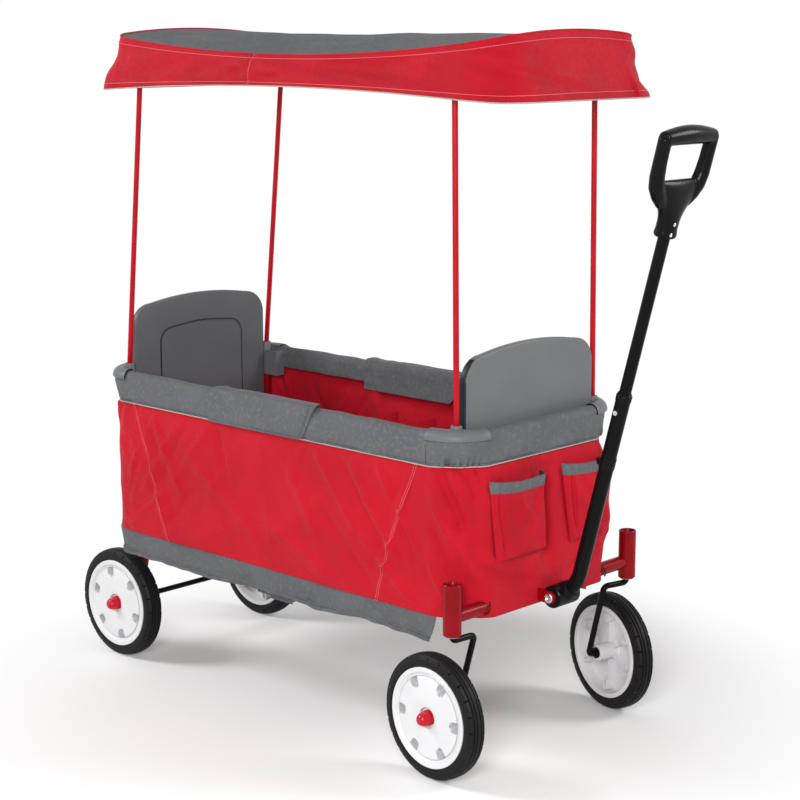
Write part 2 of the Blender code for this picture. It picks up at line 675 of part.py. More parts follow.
def rail(name, side, start, pivot):
    """One half of a folding side rail, with an outer half lap at both ends."""
    end = start + HINGE_X - MID_X - CENTRE_PITCH / 2
    y = side * RIM_Y
    body = piece(name, rod((start - LAP_END, y, RIM_Z), (end + LAP_END, y, RIM_Z), RIM_TUBE_R), RED_PAINT, pivot)
    cuts = []
    inside = sorted((side * (RIM_Y - 0.03), side * (RIM_Y + GAP)))
    for at, towards in ((start, 1), (end, -1)):
        x = sorted((at - towards * 0.02, at + towards * LAP_LENGTH))
        cuts.append(box(x, inside, (RIM_Z - 0.02, RIM_Z + 0.02)))
        cuts.append(rod((at, y - side * 0.02, RIM_Z), (at, y + side * 0.02, RIM_Z), ROD_R + GAP))
    combine(body, cuts, "DIFFERENCE", pivot)


def centre_cover(side, pivot):
    """The grey grab cover over the middle of a rail, and the link between the rail halves."""
    name = "left" if side > 0 else "right"
    inner, outer = RIM_Y - COVER_SLOT, RIM_Y + COVER_SLOT
    roof = COVER_TOP - COVER_T
    profile = [(inner - COVER_T + 0.0005, COVER_LOW[0]), (inner, COVER_LOW[0]), (inner, roof), (outer, roof),
               (outer, COVER_LOW[1]), (outer + COVER_T, COVER_LOW[1]), (outer + COVER_T, COVER_TOP - 0.003),
               (outer + COVER_T - 0.003, COVER_TOP), (inner - COVER_T + 0.0035, COVER_TOP),
               (inner - COVER_T + 0.0005, COVER_TOP - 0.003)]
    body = piece(f"{name}_centre_cover", prism([(side * y, z) for y, z in profile], "X", COVER_X), GREY_FABRIC,
                 pivot)
    link_y = sorted((side * (RIM_Y - 0.009), side * (RIM_Y - GAP)))
    reach = CENTRE_PITCH / 2 + LAP_END
    parts = [box((MID_X - reach, MID_X + reach), link_y, (RIM_Z - 0.008, RIM_Z + 0.008)),
             box((MID_X - 0.004, MID_X + 0.004), link_y, (RIM_Z, roof + 0.001))]
    for x in (MID_X - CENTRE_PITCH / 2, MID_X + CENTRE_PITCH / 2):
        parts.append(rod((x, side * (RIM_Y - 0.003), RIM_Z), (x, side * (RIM_Y + PIN_REACH), RIM_Z), ROD_R))
    combine(body, parts, "UNION", pivot)
    wedge = [(COVER_X[1] - COVER_SLANT, COVER_LOW[1] - 0.001), (COVER_X[1] + 0.01, COVER_LOW[1] - 0.001),
             (COVER_X[1] + 0.01, COVER_TOP - 0.004), (COVER_X[1], COVER_TOP - 0.004)]
    combine(body, [prism(wedge, "Y", sorted((side * (RIM_Y - 0.03), side * (RIM_Y + 0.03))))], "DIFFERENCE",
            pivot)


def floor_half(front, pivot):
    """A ladder of two tubes between hinge barrels, and the board on top."""
    name = "front" if front else "rear"
    hinge = mirror_x(HINGE_X, front)
    middle = MID_X + (CENTRE_PITCH / 2 if front else -CENTRE_PITCH / 2)
    x = sorted((hinge, middle))
    body = piece(f"{name}_floor_frame", rod((x[0], LADDER_Y, FLOOR_Z), (x[1], LADDER_Y, FLOOR_Z), LADDER_R),
                 RED_PAINT, pivot)
    parts = [rod((x[0], -LADDER_Y, FLOOR_Z), (x[1], -LADDER_Y, FLOOR_Z), LADDER_R),
             rod(((x[0] + x[1]) / 2, -LADDER_Y, FLOOR_Z), ((x[0] + x[1]) / 2, LADDER_Y, FLOOR_Z), LADDER_R - 0.001)]
    cuts = []
    for at in x:
        for side in (1, -1):
            parts.append(rod((at, side * BARREL_Y[0], FLOOR_Z), (at, side * BARREL_Y[1], FLOOR_Z), BARREL_R))
        cuts.append(rod((at, -0.2, FLOOR_Z), (at, 0.2, FLOOR_Z), ROD_R + GAP))
    combine(body, parts, "UNION", pivot)
    combine(body, cuts, "DIFFERENCE", pivot)
    far = hinge - (BOARD_SETBACK if front else -BOARD_SETBACK)
    near = MID_X + (0.0005 if front else -0.0005)
    low = FLOOR_Z + BARREL_R + GAP
    piece(f"{name}_floor_board", box(sorted((far, near)), (-FLOOR_HALF_W, FLOOR_HALF_W), (low, low + BOARD_T)),
          GREY_FABRIC, pivot)


def floor_beam(pivot):
    """The short beam with two rods that links the floor halves in the middle."""
    half = CENTRE_PITCH / 2
    body = piece("floor_centre_beam", box((MID_X - half, MID_X + half), (-LADDER_Y + 0.025, LADDER_Y - 0.025),
                                          (FLOOR_Z - 0.0025, FLOOR_Z + 0.0025)), RED_PAINT, pivot)
    parts = []
    for x in (MID_X - half, MID_X + half):
        parts.append(rod((x, -BRACKET_Y[0] - 0.002, FLOOR_Z), (x, BRACKET_Y[0] + 0.002, FLOOR_Z), ROD_R))
    for side in (1, -1):
        parts.append(box((MID_X - half - BEAM_LUG, MID_X + half + BEAM_LUG), sorted(side * y for y in BRACKET_Y),
                         (FLOOR_Z - 0.007, FLOOR_Z + 0.007)))
    combine(body, parts, "UNION", pivot)


def seat_outline(inset):
    """Half width, rounded shoulders and crowned top of a seat back, as (y, z) points."""
    half = SEAT_HALF_W - inset
    low = SEAT_HINGE_Z - SEAT_T / 2 + inset
    corner = SEAT_CORNER_R - inset
    shoulder = SEAT_TOP - SEAT_SHOULDER - inset
    crown = half - corner
    side = [(crown + corner * cos(pi / 2 * k / 5), shoulder - corner + corner * sin(pi / 2 * k / 5))
            for k in range(6)]
    top = [(crown * s, SEAT_TOP - inset - SEAT_SHOULDER * s * s) for s in (0.66, 0.33, 0, -0.33, -0.66)]
    return [(-half, low), (half, low)] + side + top + [(-y, z) for y, z in reversed(side)]


def seat_back(front, pivot):
    """A moulded seat back with a shallow recess on its inner face and stub pins at its foot."""
    name = "front_seat_back" if front else "rear_seat_back"
    x = mirror_x(SEAT_X, front)
    outwards = 1 if front else -1
    inside = x - outwards * SEAT_T / 2
    rings = [[(inside + outwards * depth, y, z) for y, z in seat_outline(inset)]
             for depth, inset in SEAT_ROUNDING]
    body = piece(name, loft(rings), GREY_MOULDING, pivot)
    wide, base, top = SEAT_RECESS
    turn = SEAT_RECESS_TURN
    panel = [(-wide, base), (wide, base), (wide, top - turn), (wide - turn, top), (turn - wide, top),
             (-wide, top - turn)]
    cut_x = sorted((inside - outwards * 0.01, inside + outwards * SEAT_RECESS_DEPTH))
    combine(body, [prism(panel, "X", cut_x)], "DIFFERENCE", pivot)
    pins = [rod((x, side * (SEAT_HALF_W - 0.005), SEAT_HINGE_Z),
                (x, side * (SEAT_HALF_W + 0.005), SEAT_HINGE_Z), ROD_R) for side in (1, -1)]
    combine(body, pins, "UNION", pivot)


def pole(front, side, pivot):
    lean = FRONT_POLE_LEAN if front else REAR_POLE_LEAN
    where = ("front" if front else "rear", "left" if side > 0 else "right")
    foot = Vector((mirror_x(POST_X, front), side * POST_Y, POLE_FOOT + POLE_R * abs(lean)))
    rise = canopy_height(foot.x + lean * POLE_RUN, POST_Y)[1] - POLE_FOOT - POLE_SHORT
    top = foot + Vector((lean * rise, 0, rise))
    piece(f"{where[0]}_{where[1]}_canopy_pole", rod(foot, top, POLE_R), RED_PAINT, pivot)


def canopy_height(x, y):
    """Outer and inner height of the roof over a point."""
    share = min(abs(x - sum(CANOPY_X) / 2) / ((CANOPY_X[1] - CANOPY_X[0]) / 2), 1.0) ** 2
    border = CANOPY_BORDER[1] + (CANOPY_BORDER[0] - CANOPY_BORDER[1]) * share
    crown = CANOPY_CROWN[1] + (CANOPY_CROWN[0] - CANOPY_CROWN[1]) * share
    across = min(abs(y) / (CANOPY_HALF_W - CANOPY_FLARE), 1.0) ** 2
    top = crown + (border - crown) * across
    return top, top - CANOPY_T


def canopy_ring(inset, drop):
    """Points round the canopy at a distance inside its hem line. drop says how to set heights."""
    half_l = (CANOPY_X[1] - CANOPY_X[0]) / 2 - inset
    half_w = CANOPY_HALF_W - inset
    middle = sum(CANOPY_X) / 2
    radius = max(CANOPY_CORNER_R - inset, 0.012)
    points = []
    for sx, sy, base in ((1, 1, 0), (-1, 1, 1), (-1, -1, 2), (1, -1, 3)):
        for k in range(5):
            a = pi / 2 * (base + k / 4)
            points.append((middle + sx * (half_l - radius) + radius * cos(a),
                           sy * (half_w - radius) + radius * sin(a)))
        straight = 10 if base in (0, 2) else 4
        start = points[-1]
        if base in (0, 2):
            finish = (2 * middle - start[0], start[1])
        else:
            finish = (start[0], -start[1])
        for k in range(1, straight):
            t = k / straight
            points.append((start[0] + (finish[0] - start[0]) * t, start[1] + (finish[1] - start[1]) * t))
    return [(x, y, drop(x, y)) for x, y in points]


def canopy(pivot):
    """The cloth roof and its hanging border, as one open shell."""
    def hem(x, y):
        share = min(abs(x - sum(CANOPY_X) / 2) / ((CANOPY_X[1] - CANOPY_X[0]) / 2), 1.0) ** 2
        return CANOPY_HEM[1] + (CANOPY_HEM[0] - CANOPY_HEM[1]) * share

    outer = [canopy_ring(0, hem)]
    inner = [canopy_ring(CANOPY_T, hem)]
    for inset in (CANOPY_FLARE, 0.055, 0.095, 0.135, 0.17):
        outer.append(canopy_ring(inset, lambda x, y: canopy_height(x, y)[0]))
        inner.append(canopy_ring(inset + (CANOPY_T if inset == CANOPY_FLARE else 0),
                                 lambda x, y: canopy_height(x, y)[1]))
    bm = bmesh.new()
    sheets = []
    for rings in (outer, inner):
        rows = [[bm.verts.new(p) for p in ring] for ring in rings]
        count = len(rows[0])
        for here, there in zip(rows, rows[1:]):
            for i in range(count):
                j = (i + 1) % count
                bm.faces.new((here[i], here[j], there[j], there[i]))
        bm.faces.new(rows[-1])
        sheets.append(rows[0])
    count = len(sheets[0])
    for i in range(count):
        j = (i + 1) % count
        bm.faces.new((sheets[0][i], sheets[0][j], sheets[1][j], sheets[1][i]))
    piece("canopy_cloth", bm, RED_FABRIC, pivot)


def handle_point(z, out=0.0):
    """A point on the straight handle tube's middle line at a height."""
    return Vector((HANDLE_FOOT[0] + (z - HANDLE_FOOT[1]) * HANDLE_SLOPE + out, 0, z))


def handle(front_end):
    swing = Pivot("handle_pivot", (PIVOT_X, 0, PIVOT_Z), front_end)
    pin = Vector((PIVOT_X, 0, PIVOT_Z))
    top = handle_point(LOWER_TOP_Z)
    elbow = handle_point(HANDLE_ELBOW_Z)
    out = (elbow - pin).normalized()
    across = Vector((0, 1, 0))
    body = piece("handle_knuckle", rod(pin - across * BARREL_HALF_W, pin + across * BARREL_HALF_W, KNUCKLE_R, 20),
                 BLACK_PLASTIC, swing)
    combine(body, [rod(pin, pin + out * KNUCKLE_SOCKET[1], LOWER_R + 0.003, 16)], "UNION", swing)
    combine(body, [rod(pin - across * 0.05, pin + across * 0.05, ROD_R + GAP),
                   rod(pin + out * KNUCKLE_SOCKET[0], pin + out * 0.06, LOWER_R + GAP, 16)], "DIFFERENCE", swing)

    start = pin + out * (KNUCKLE_SOCKET[0] + GAP)
    body = piece("handle_lower_tube", pipe(rounded([start, elbow, top], 0.03, 5), LOWER_R, 16), BLACK_PAINT, swing)
    bore = rod(top - HANDLE_DIR * BORE_DEPTH, top + HANDLE_DIR * 0.02, LOWER_BORE, 16)
    spot = handle_point(BUTTON_Z)
    hole = rod(spot + Vector((0, -0.03, 0)), spot + Vector((0, -0.004, 0)), BUTTON_R + GAP)
    combine(body, [bore, hole], "DIFFERENCE", swing)

    base = top + HANDLE_DIR * GAP
    body = piece("handle_collar", rod(base, base + HANDLE_DIR * COLLAR_L, COLLAR_R, 20), BLACK_PLASTIC, swing)
    combine(body, [rod(base - HANDLE_DIR * 0.01, base + HANDLE_DIR * 0.03, LOWER_BORE, 16)], "DIFFERENCE", swing)

    clip = handle_point(CLIP_Z)
    body = piece("handle_clip", rod(clip - HANDLE_DIR * 0.007, clip + HANDLE_DIR * 0.007, LOWER_R + 0.0024, 20),
                 BLACK_PLASTIC, swing)
    hook = box((clip.x - 0.026, clip.x - LOWER_R), (-0.004, 0.004), (CLIP_Z - 0.005, CLIP_Z + 0.008))
    combine(body, [hook], "UNION", swing)
    combine(body, [rod(clip - HANDLE_DIR * 0.02, clip + HANDLE_DIR * 0.02, LOWER_R + GAP, 16)], "DIFFERENCE", swing)

    press = Pivot("snap_button_travel", spot, swing)
    piece("handle_snap_button", rod(spot - Vector((0, LOWER_R + 0.002, 0)), spot - Vector((0, LOWER_BORE, 0)),
                                    BUTTON_R), BRIGHT_STEEL, press)

    slide = Pivot("handle_slide", handle_point(GRIP_FOOT_Z), swing)
    grip_foot = handle_point(GRIP_FOOT_Z)
    low = top - HANDLE_DIR * UPPER_INSERT
    high = grip_foot + HANDLE_DIR * (GRIP_SOCKET - GAP)
    body = piece("handle_upper_tube", rod(low, high, UPPER_R, 16), BLACK_PAINT, slide)
    pocket = rod(spot + Vector((0, -0.02, 0)), spot + Vector((0, -UPPER_R + 0.0036, 0)), BUTTON_R + GAP)
    combine(body, [pocket], "DIFFERENCE", slide)
    grip(grip_foot, slide)


def grip(foot, pivot):
    """The D shaped pull grip, extruded across the handle and rounded."""
    half = [(0.0, 0.0165), (0.034, 0.0185), (0.050, 0.036), (0.066, 0.052), (0.086, 0.070), (0.100, 0.0735),
            (0.135, 0.0735), (0.150, 0.070), (0.158, 0.058), (GRIP_TOP_S, 0.030)]
    outline = [(y, s) for s, y in half] + [(-y, s) for s, y in reversed(half)]
    hole_half = [(0.084, 0.030), (0.093, 0.0385), (0.126, 0.0395), (0.131, 0.036)]
    hole = [(y, s) for s, y in hole_half] + [(-y, s) for s, y in reversed(hole_half)]
    along, across = HANDLE_DIR, Vector((HANDLE_DIR.z, 0, -HANDLE_DIR.x))

    def slab(points, thickness):
        rings = []
        for depth in (-thickness / 2, thickness / 2):
            rings.append([foot + along * s + Vector((0, y, 0)) + across * depth for y, s in points])
        return loft(rings)

    body = piece("handle_grip", slab(outline, GRIP_T), BLACK_PLASTIC, pivot)
    combine(body, [slab(hole, 0.06)], "DIFFERENCE", pivot)
    bevel = body.modifiers.new("round", "BEVEL")
    bevel.width = 0.009
    bevel.segments = 2
    bevel.limit_method = "ANGLE"
    bevel.angle_limit = radians(60)
    combine(body, [rod(foot - along * 0.01, foot + along * GRIP_SOCKET, UPPER_R + GAP, 16)], "DIFFERENCE", pivot)


def handle_bolt(front_end):
    """The pivot bolt through the ears, with its head and nut."""
    ear = BARREL_HALF_W + GAP + EAR_T + GAP
    pin = (PIVOT_X, PIVOT_Z)
    body = piece("handle_bolt", rod((pin[0], -ear - 0.002, pin[1]), (pin[0], ear + 0.002, pin[1]), ROD_R),
                 BRIGHT_STEEL, front_end)
    heads = [rod((pin[0], side * ear, pin[1]), (pin[0], side * (ear + 0.004), pin[1]), 0.0075)
             for side in (1, -1)]
    combine(body, heads, "UNION", front_end)


def pocket(side, front_end):
    """A cloth pocket on the front, open at the top."""
    name = "left" if side > 0 else "right"
    face = RIM_X + WALL_OUT + GAP
    low, high = POCKET_Z
    levels = [low, SWELL_LEVELS[0], SWELL_TOP, 0.39, 0.43, high]

    def ring(level, shrink):
        share = (level - low) / (high - low)
        narrow = POCKET_TAPER * max(1 - share, 0) ** 1.5
        y0, y1 = POCKET_Y[0] + narrow + shrink, POCKET_Y[1] - narrow / 2 - shrink
        depth = POCKET_DEPTH[0] + (POCKET_DEPTH[1] - POCKET_DEPTH[0]) * share ** 0.7
        base = face + swell(level)
        points = [(base + shrink, y1), (base + shrink, y0)]
        for k in range(7):
            arch = min(1.0, 1.5 * sqrt(sin(pi * min(max(k / 6, 0.02), 0.98))))
            points.append((base + depth * arch - shrink, y0 + (y1 - y0) * k / 6))
        return [(x, side * y, level) for x, y in points]

    outer = [ring(level, 0) for level in levels]
    inner = [ring(level, POCKET_T) for level in levels]
    inner[0] = [(x, y, z + POCKET_T) for x, y, z in inner[0]]
    bm = loft(outer + list(reversed(inner)))
    piece(f"front_{name}_pocket", bm, RED_FABRIC, front_end)


def main():
    clear_scene()
    front_most = handle_point(GRIP_FOOT_Z).x + HANDLE_DIR.x * GRIP_TOP_S + HANDLE_DIR.z * GRIP_T / 2
    left, right = -CASTER_YAW["left"], -CASTER_YAW["right"]
    left_most = CASTER_Y + (CRANK_TRAIL + WHEEL_R - 0.010) * sin(left) + TYRE_W / 2 * cos(left)
    right_most = CASTER_Y - CRANK_TRAIL * sin(right) + (HUB_OUTBOARD + CAP_H) * cos(right)
    origin = ((front_most - WHEEL_R) / 2, (left_most - right_most) / 2, 0)
    wagon = Pivot("wagon", origin)

    end_frame(False, wagon)
    rim_band(False, wagon)
    end_fabric(False, wagon)
    piece("rear_axle", rod((0, -REAR_TRACK / 2 - HUB_OUTBOARD + 0.003, WHEEL_R),
                           (0, REAR_TRACK / 2 + HUB_OUTBOARD - 0.003, WHEEL_R), AXLE_R), BLACK_PAINT, wagon)
    for name, side in (("left", 1), ("right", -1)):
        centre = (0, side * REAR_TRACK / 2, WHEEL_R)
        wheel(f"rear_{name}", centre, side, Pivot(f"rear_{name}_wheel", centre, wagon))
        corner_cap(False, side, wagon)
        side_cloth(side, wagon)

    floor_rear = Pivot("floor_rear", (mirror_x(HINGE_X, False), 0, FLOOR_Z), wagon)
    middle = Pivot("frame_middle", (MID_X - CENTRE_PITCH / 2, 0, FLOOR_Z), floor_rear)
    floor_front = Pivot("floor_front", (MID_X + CENTRE_PITCH / 2, 0, FLOOR_Z), middle)
    front_end = Pivot("front_end", (HINGE_X, 0, FLOOR_Z), floor_front)
    floor_half(False, floor_rear)
    floor_beam(middle)
    floor_half(True, floor_front)

    end_frame(True, front_end)
    rim_band(True, front_end)
    end_fabric(True, front_end)
    for name, side in (("left", 1), ("right", -1)):
        corner_cap(True, side, front_end)
        caster(name, side, front_end)
        pocket(side, front_end)
        start = mirror_x(HINGE_X, False)
        rear_rail = Pivot(f"{name}_rail_rear", (start, side * RIM_Y, RIM_Z), wagon)
        front_rail = Pivot(f"{name}_rail_front", (MID_X + CENTRE_PITCH / 2, side * RIM_Y, RIM_Z), middle)
        rail(f"{name}_rear_rail", side, start, rear_rail)
        centre_cover(side, middle)
        rail(f"{name}_front_rail", side, MID_X + CENTRE_PITCH / 2, front_rail)
    handle_bolt(front_end)
    handle(front_end)

    seat_back(False, Pivot("rear_seat", (mirror_x(SEAT_X, False), 0, SEAT_HINGE_Z), wagon))
    seat_back(True, Pivot("front_seat", (SEAT_X, 0, SEAT_HINGE_Z), front_end))

    roof = Pivot("canopy", (MID_X, 0, CANOPY_HEM[0]), wagon)
    canopy(roof)
    poles = Pivot("front_poles", (POST_X, 0, POLE_FOOT), front_end)
    for side in (1, -1):
        pole(False, side, roof)
        pole(True, side, poles)


main()
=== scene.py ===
"""Looks of the folding wagon: cloth, padding, mouldings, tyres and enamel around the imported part.

All sizes are in metres. Pieces are worked out in the wagon's own frame, with the rear axle at
X = 0, the middle plane at Y = 0 and the ground at Z = 0, and are moved once to where the part is.
"""
from math import atan, ceil, cos, pi, radians, sin, sqrt

import bmesh
import bpy
import numpy as np
from mathutils import Matrix, Vector, noise


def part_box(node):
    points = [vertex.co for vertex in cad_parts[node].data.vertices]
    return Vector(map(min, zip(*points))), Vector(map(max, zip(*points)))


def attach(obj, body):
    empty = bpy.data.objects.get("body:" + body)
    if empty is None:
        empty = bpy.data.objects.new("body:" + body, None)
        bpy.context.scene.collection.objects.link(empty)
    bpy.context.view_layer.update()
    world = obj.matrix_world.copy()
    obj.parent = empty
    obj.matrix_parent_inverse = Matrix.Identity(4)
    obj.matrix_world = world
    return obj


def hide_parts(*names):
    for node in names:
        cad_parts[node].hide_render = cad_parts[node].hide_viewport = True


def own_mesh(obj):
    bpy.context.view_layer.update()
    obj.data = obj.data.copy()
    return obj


bl_info = {
    "name": "Folding Wagon",
    "version": (1, 0, 0),
    "blender": (4, 5, 0),
    "location": "View3D > Sidebar > Wagon",
    "description": "Builds the visible pieces of a folding wagon around its packed part",
    "category": "Add Mesh",
}

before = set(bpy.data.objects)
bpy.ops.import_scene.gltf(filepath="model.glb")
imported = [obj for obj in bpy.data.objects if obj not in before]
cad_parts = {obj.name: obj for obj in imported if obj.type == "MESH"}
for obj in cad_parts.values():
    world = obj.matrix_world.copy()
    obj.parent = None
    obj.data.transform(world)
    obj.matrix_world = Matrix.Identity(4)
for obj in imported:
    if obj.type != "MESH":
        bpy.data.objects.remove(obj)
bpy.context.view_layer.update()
LEFT_TYRE, RIGHT_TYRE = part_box("rear_left_tyre"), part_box("rear_right_tyre")
AXLE = (LEFT_TYRE[0] + LEFT_TYRE[1] + RIGHT_TYRE[0] + RIGHT_TYRE[1]) / 4
AXLE.z = 0.0
SIDES = (("left", 1), ("right", -1))
ENDS = (("rear", False), ("front", True))

WHEEL_R = 0.1
TYRE_HALF = 0.016
DISC_R = 0.0797
DISC_HALF = 0.017
HUB_IN = 0.03
HUB_OUT = 0.0165
REAR_HALF_TRACK = 0.1725
CASTER = (0.8629, 0.2168)
CASTER_TUBE = (0.0143, 0.2385, 0.3195)
CASTER_TRAIL = 0.0385
CASTER_YAW = {"left": radians(-14.1), "right": radians(-4.3)}
CRANK_STEP = (0.047, 0.2295)
CRANK_R = 0.005
MID_X = 0.4275
HINGE_X = 0.7785
HINGE_BACK = 2 * MID_X - HINGE_X
FOLDED_SHARE = 0.2161
LAP = 0.0112
FLOOR_Z = 0.2655
POST = (0.8234, 0.1655)
POST_R = 0.008
CROSS_X = 0.86
CROSS_R = 0.011
RIM = (0.8485, 0.1865, 0.5295)
CORNER_R = {True: 0.0575, False: 0.0435}
WALL_OUT = 0.0085
RED_TOP = 0.507
RED_FREE = 0.4895
RED_LOW = 0.2495
BAND_LOW = 0.488
PIPING_Z = 0.4872
CORNER_DRAW = 0.0085
COVER_X = (0.289, 0.565)
COVER_TOP = 0.5465
SKIRT = (0.02, 0.808, 0.206)
SKIRT_TOP = 0.2535
SEAT_HALF_W = 0.155
SEAT_Z = (0.283, 0.662)
SEAT_X = 0.8245
SEAT_PIN_Z = 0.29
CANOPY_X = (0.027, 0.915)
CANOPY_MID = sum(CANOPY_X) / 2
CANOPY_HALF_L = (CANOPY_X[1] - CANOPY_X[0]) / 2
CANOPY_HALF_W = 0.2
CANOPY_CORNER = {True: 0.078, False: 0.052}
CANOPY_FLARE = 0.02
HEM = (1.036, 1.051)
BORDER = (1.126, 1.098)
CROWN = (1.138, 1.131)
POLE_LEAN = {True: -0.0125, False: 0.1013}
POLE_RISE = 0.575
PIVOT = (0.899, 0.264)
HANDLE_SLOPE = 0.269
HANDLE_FOOT = (0.948, 0.353)
HANDLE_ANGLE = atan(HANDLE_SLOPE)
ALONG = Vector((sin(HANDLE_ANGLE), 0, cos(HANDLE_ANGLE)))
ACROSS = Vector((cos(HANDLE_ANGLE), 0, -sin(HANDLE_ANGLE)))


def mm(*rows):
    """Gives rows of millimetres as rows of metres."""
    return [tuple(part / 1000 for part in row) for row in rows]


def arc(radius, start, stop, count):
    return [(radius * cos(a), radius * sin(a)) for a in np.linspace(start, stop, count)]


def xyz(x, y, z):
    """Points from three coordinates, each an array or one number for all."""
    return np.stack(np.broadcast_arrays(x, y, z), axis=-1)


def linked(name, data):
    piece = bpy.data.objects.new(name, data)
    bpy.context.scene.collection.objects.link(piece)
    return piece


def size_property(label, tells, default):
    return bpy.props.FloatProperty(name=label, description=tells, default=default, min=0.0, precision=5,
                                   subtype="DISTANCE", unit="LENGTH")


def colour_property(label, tells, default):
    return bpy.props.FloatVectorProperty(name=label, description=tells, default=default, size=3, min=0.0,
                                         max=1.0, subtype="COLOR")


class WagonSizes(bpy.types.PropertyGroup):
    cloth: size_property("Cloth", "Thickness of the red and grey cloth", 0.0012)
    folds: size_property("Folds", "Depth of the soft folds in the tub's cloth", 0.007)
    puckers: size_property("Puckers", "Depth of the gathers along a sewn edge", 0.0022)
    piping: size_property("Piping", "Radius of the piping at the cloth's edges", 0.001)
    stitch: size_property("Stitch", "Length of one stitch", 0.0032)
    thread: size_property("Thread", "Thickness of the sewing thread", 0.001)
    groove: size_property("Tread groove", "Depth of the grooves round the tread", 0.0021)
    scoop: size_property("Scoop", "Depth of the scoops in the wheel discs", 0.009)


class WagonColours(bpy.types.PropertyGroup):
    red_cloth: colour_property("Red cloth", "Walls, pockets and canopy border", (0.44, 0.0042, 0.0155))
    grey_cloth: colour_property("Grey cloth", "Rim bands, covers, skirts and roof", (0.1, 0.103, 0.111))
    enamel: colour_property("Red enamel", "Frame tubes and poles", (0.205, 0.0018, 0.0052))
    black: colour_property("Black", "Handle, cranks and axle", (0.0045, 0.0045, 0.0045))
    moulding: colour_property("Grey moulding", "Seat backs and corner caps", (0.122, 0.125, 0.134))
    disc: colour_property("Disc", "Wheel discs", (0.62, 0.62, 0.63))
    rubber: colour_property("Rubber", "Tyres", (0.0065, 0.0065, 0.007))
    piping: colour_property("Piping", "Piping and thread", (0.4, 0.37, 0.34))


def sizes():
    return bpy.context.scene.wagon_sizes


def colours():
    return bpy.context.scene.wagon_colours


class Value:
    """A socket with a number. Python's operators on it add Math nodes to its tree."""

    def __init__(self, tree, socket):
        self.tree, self.socket = tree, socket

    def math(self, operation, *others):
        node = self.tree.nodes.new("ShaderNodeMath")
        node.operation = operation
        for place, item in zip(node.inputs, (self, *others)):
            feed(self.tree, place, item)
        return Value(self.tree, node.outputs[0])

    def __add__(self, other):
        return self.math("ADD", other)

    def __sub__(self, other):
        return self.math("SUBTRACT", other)

    def __mul__(self, other):
        return self.math("MULTIPLY", other)

    def __truediv__(self, other):
        return self.math("DIVIDE", other)

    def __rsub__(self, other):
        return self.math("MULTIPLY_ADD", -1.0, other)

    __radd__ = __add__
    __rmul__ = __mul__

    def wave(self):
        """sin squared, from 0 to 1, with one hump for each unit."""
        humps = (self * pi).math("SINE")
        return humps * humps


def feed(tree, socket, item):
    if isinstance(item, Value):
        tree.links.new(item.socket, socket)
    elif isinstance(item, bpy.types.NodeSocket):
        tree.links.new(item, socket)
    else:
        socket.default_value = item


def tree_node(tree, kind, settings=None, sockets=None):
    """Adds a node, with its settings first and its sockets after."""
    node = tree.nodes.new(kind)
    for key, value in (settings or {}).items():
        setattr(node, key, value)
    for key, value in (sockets or {}).items():
        feed(tree, node.inputs[key], value)
    return node


class Finish:
    """One material, with its Principled shader's constant sockets set from a dictionary."""

    def __init__(self, name, constants):
        self.material = bpy.data.materials.new(name)
        self.material.use_nodes = True
        self.tree = self.material.node_tree
        self.shader = self.tree.nodes["Principled BSDF"]
        for socket, value in constants.items():
            self.shader.inputs[socket].default_value = value

    def node(self, kind, settings=None, sockets=None, output=0):
        return Value(self.tree, tree_node(self.tree, kind, settings, sockets).outputs[output])

    def place(self, kind="Object"):
        return self.node("ShaderNodeTexCoord", output=kind)

    def stretched(self, scale, kind="Object", turn=(0.0, 0.0, 0.0)):
        return self.node("ShaderNodeMapping", None,
                         {"Vector": self.place(kind), "Scale": scale, "Rotation": turn})

    def noise(self, scale, detail=2.0, vector=None):
        return self.node("ShaderNodeTexNoise", {"noise_dimensions": "3D"},
                         {"Vector": vector or self.place(), "Scale": scale, "Detail": detail})

    def span(self, value, low, high, to_low=0.0, to_high=1.0):
        """Maps a range of a value smoothly to another."""
        return self.node("ShaderNodeMapRange", {"interpolation_type": "SMOOTHSTEP"},
                         {"Value": value, "From Min": low, "From Max": high, "To Min": to_low,
                          "To Max": to_high})

    def blend(self, share, first, second):
        first, second = ((*item, 1.0) if isinstance(item, tuple) else item for item in (first, second))
        return tree_node(self.tree, "ShaderNodeMix", {"data_type": "RGBA"},
                         {0: share, 6: first, 7: second}).outputs[2]

    def bump(self, *layers):
        """Adds a Bump node for each (height, distance) and feeds the last to the shader's Normal."""
        normal = None
        for height, distance in layers:
            sockets = {"Height": height, "Distance": distance, "Strength": 1.0}
            if normal is not None:
                sockets["Normal"] = normal
            normal = self.node("ShaderNodeBump", None, sockets)
        self.set("Normal", normal)

    def set(self, socket, item):
        feed(self.tree, self.shader.inputs[socket], item)


def scaled(colour, share):
    return tuple(min(part * share, 1.0) for part in colour)


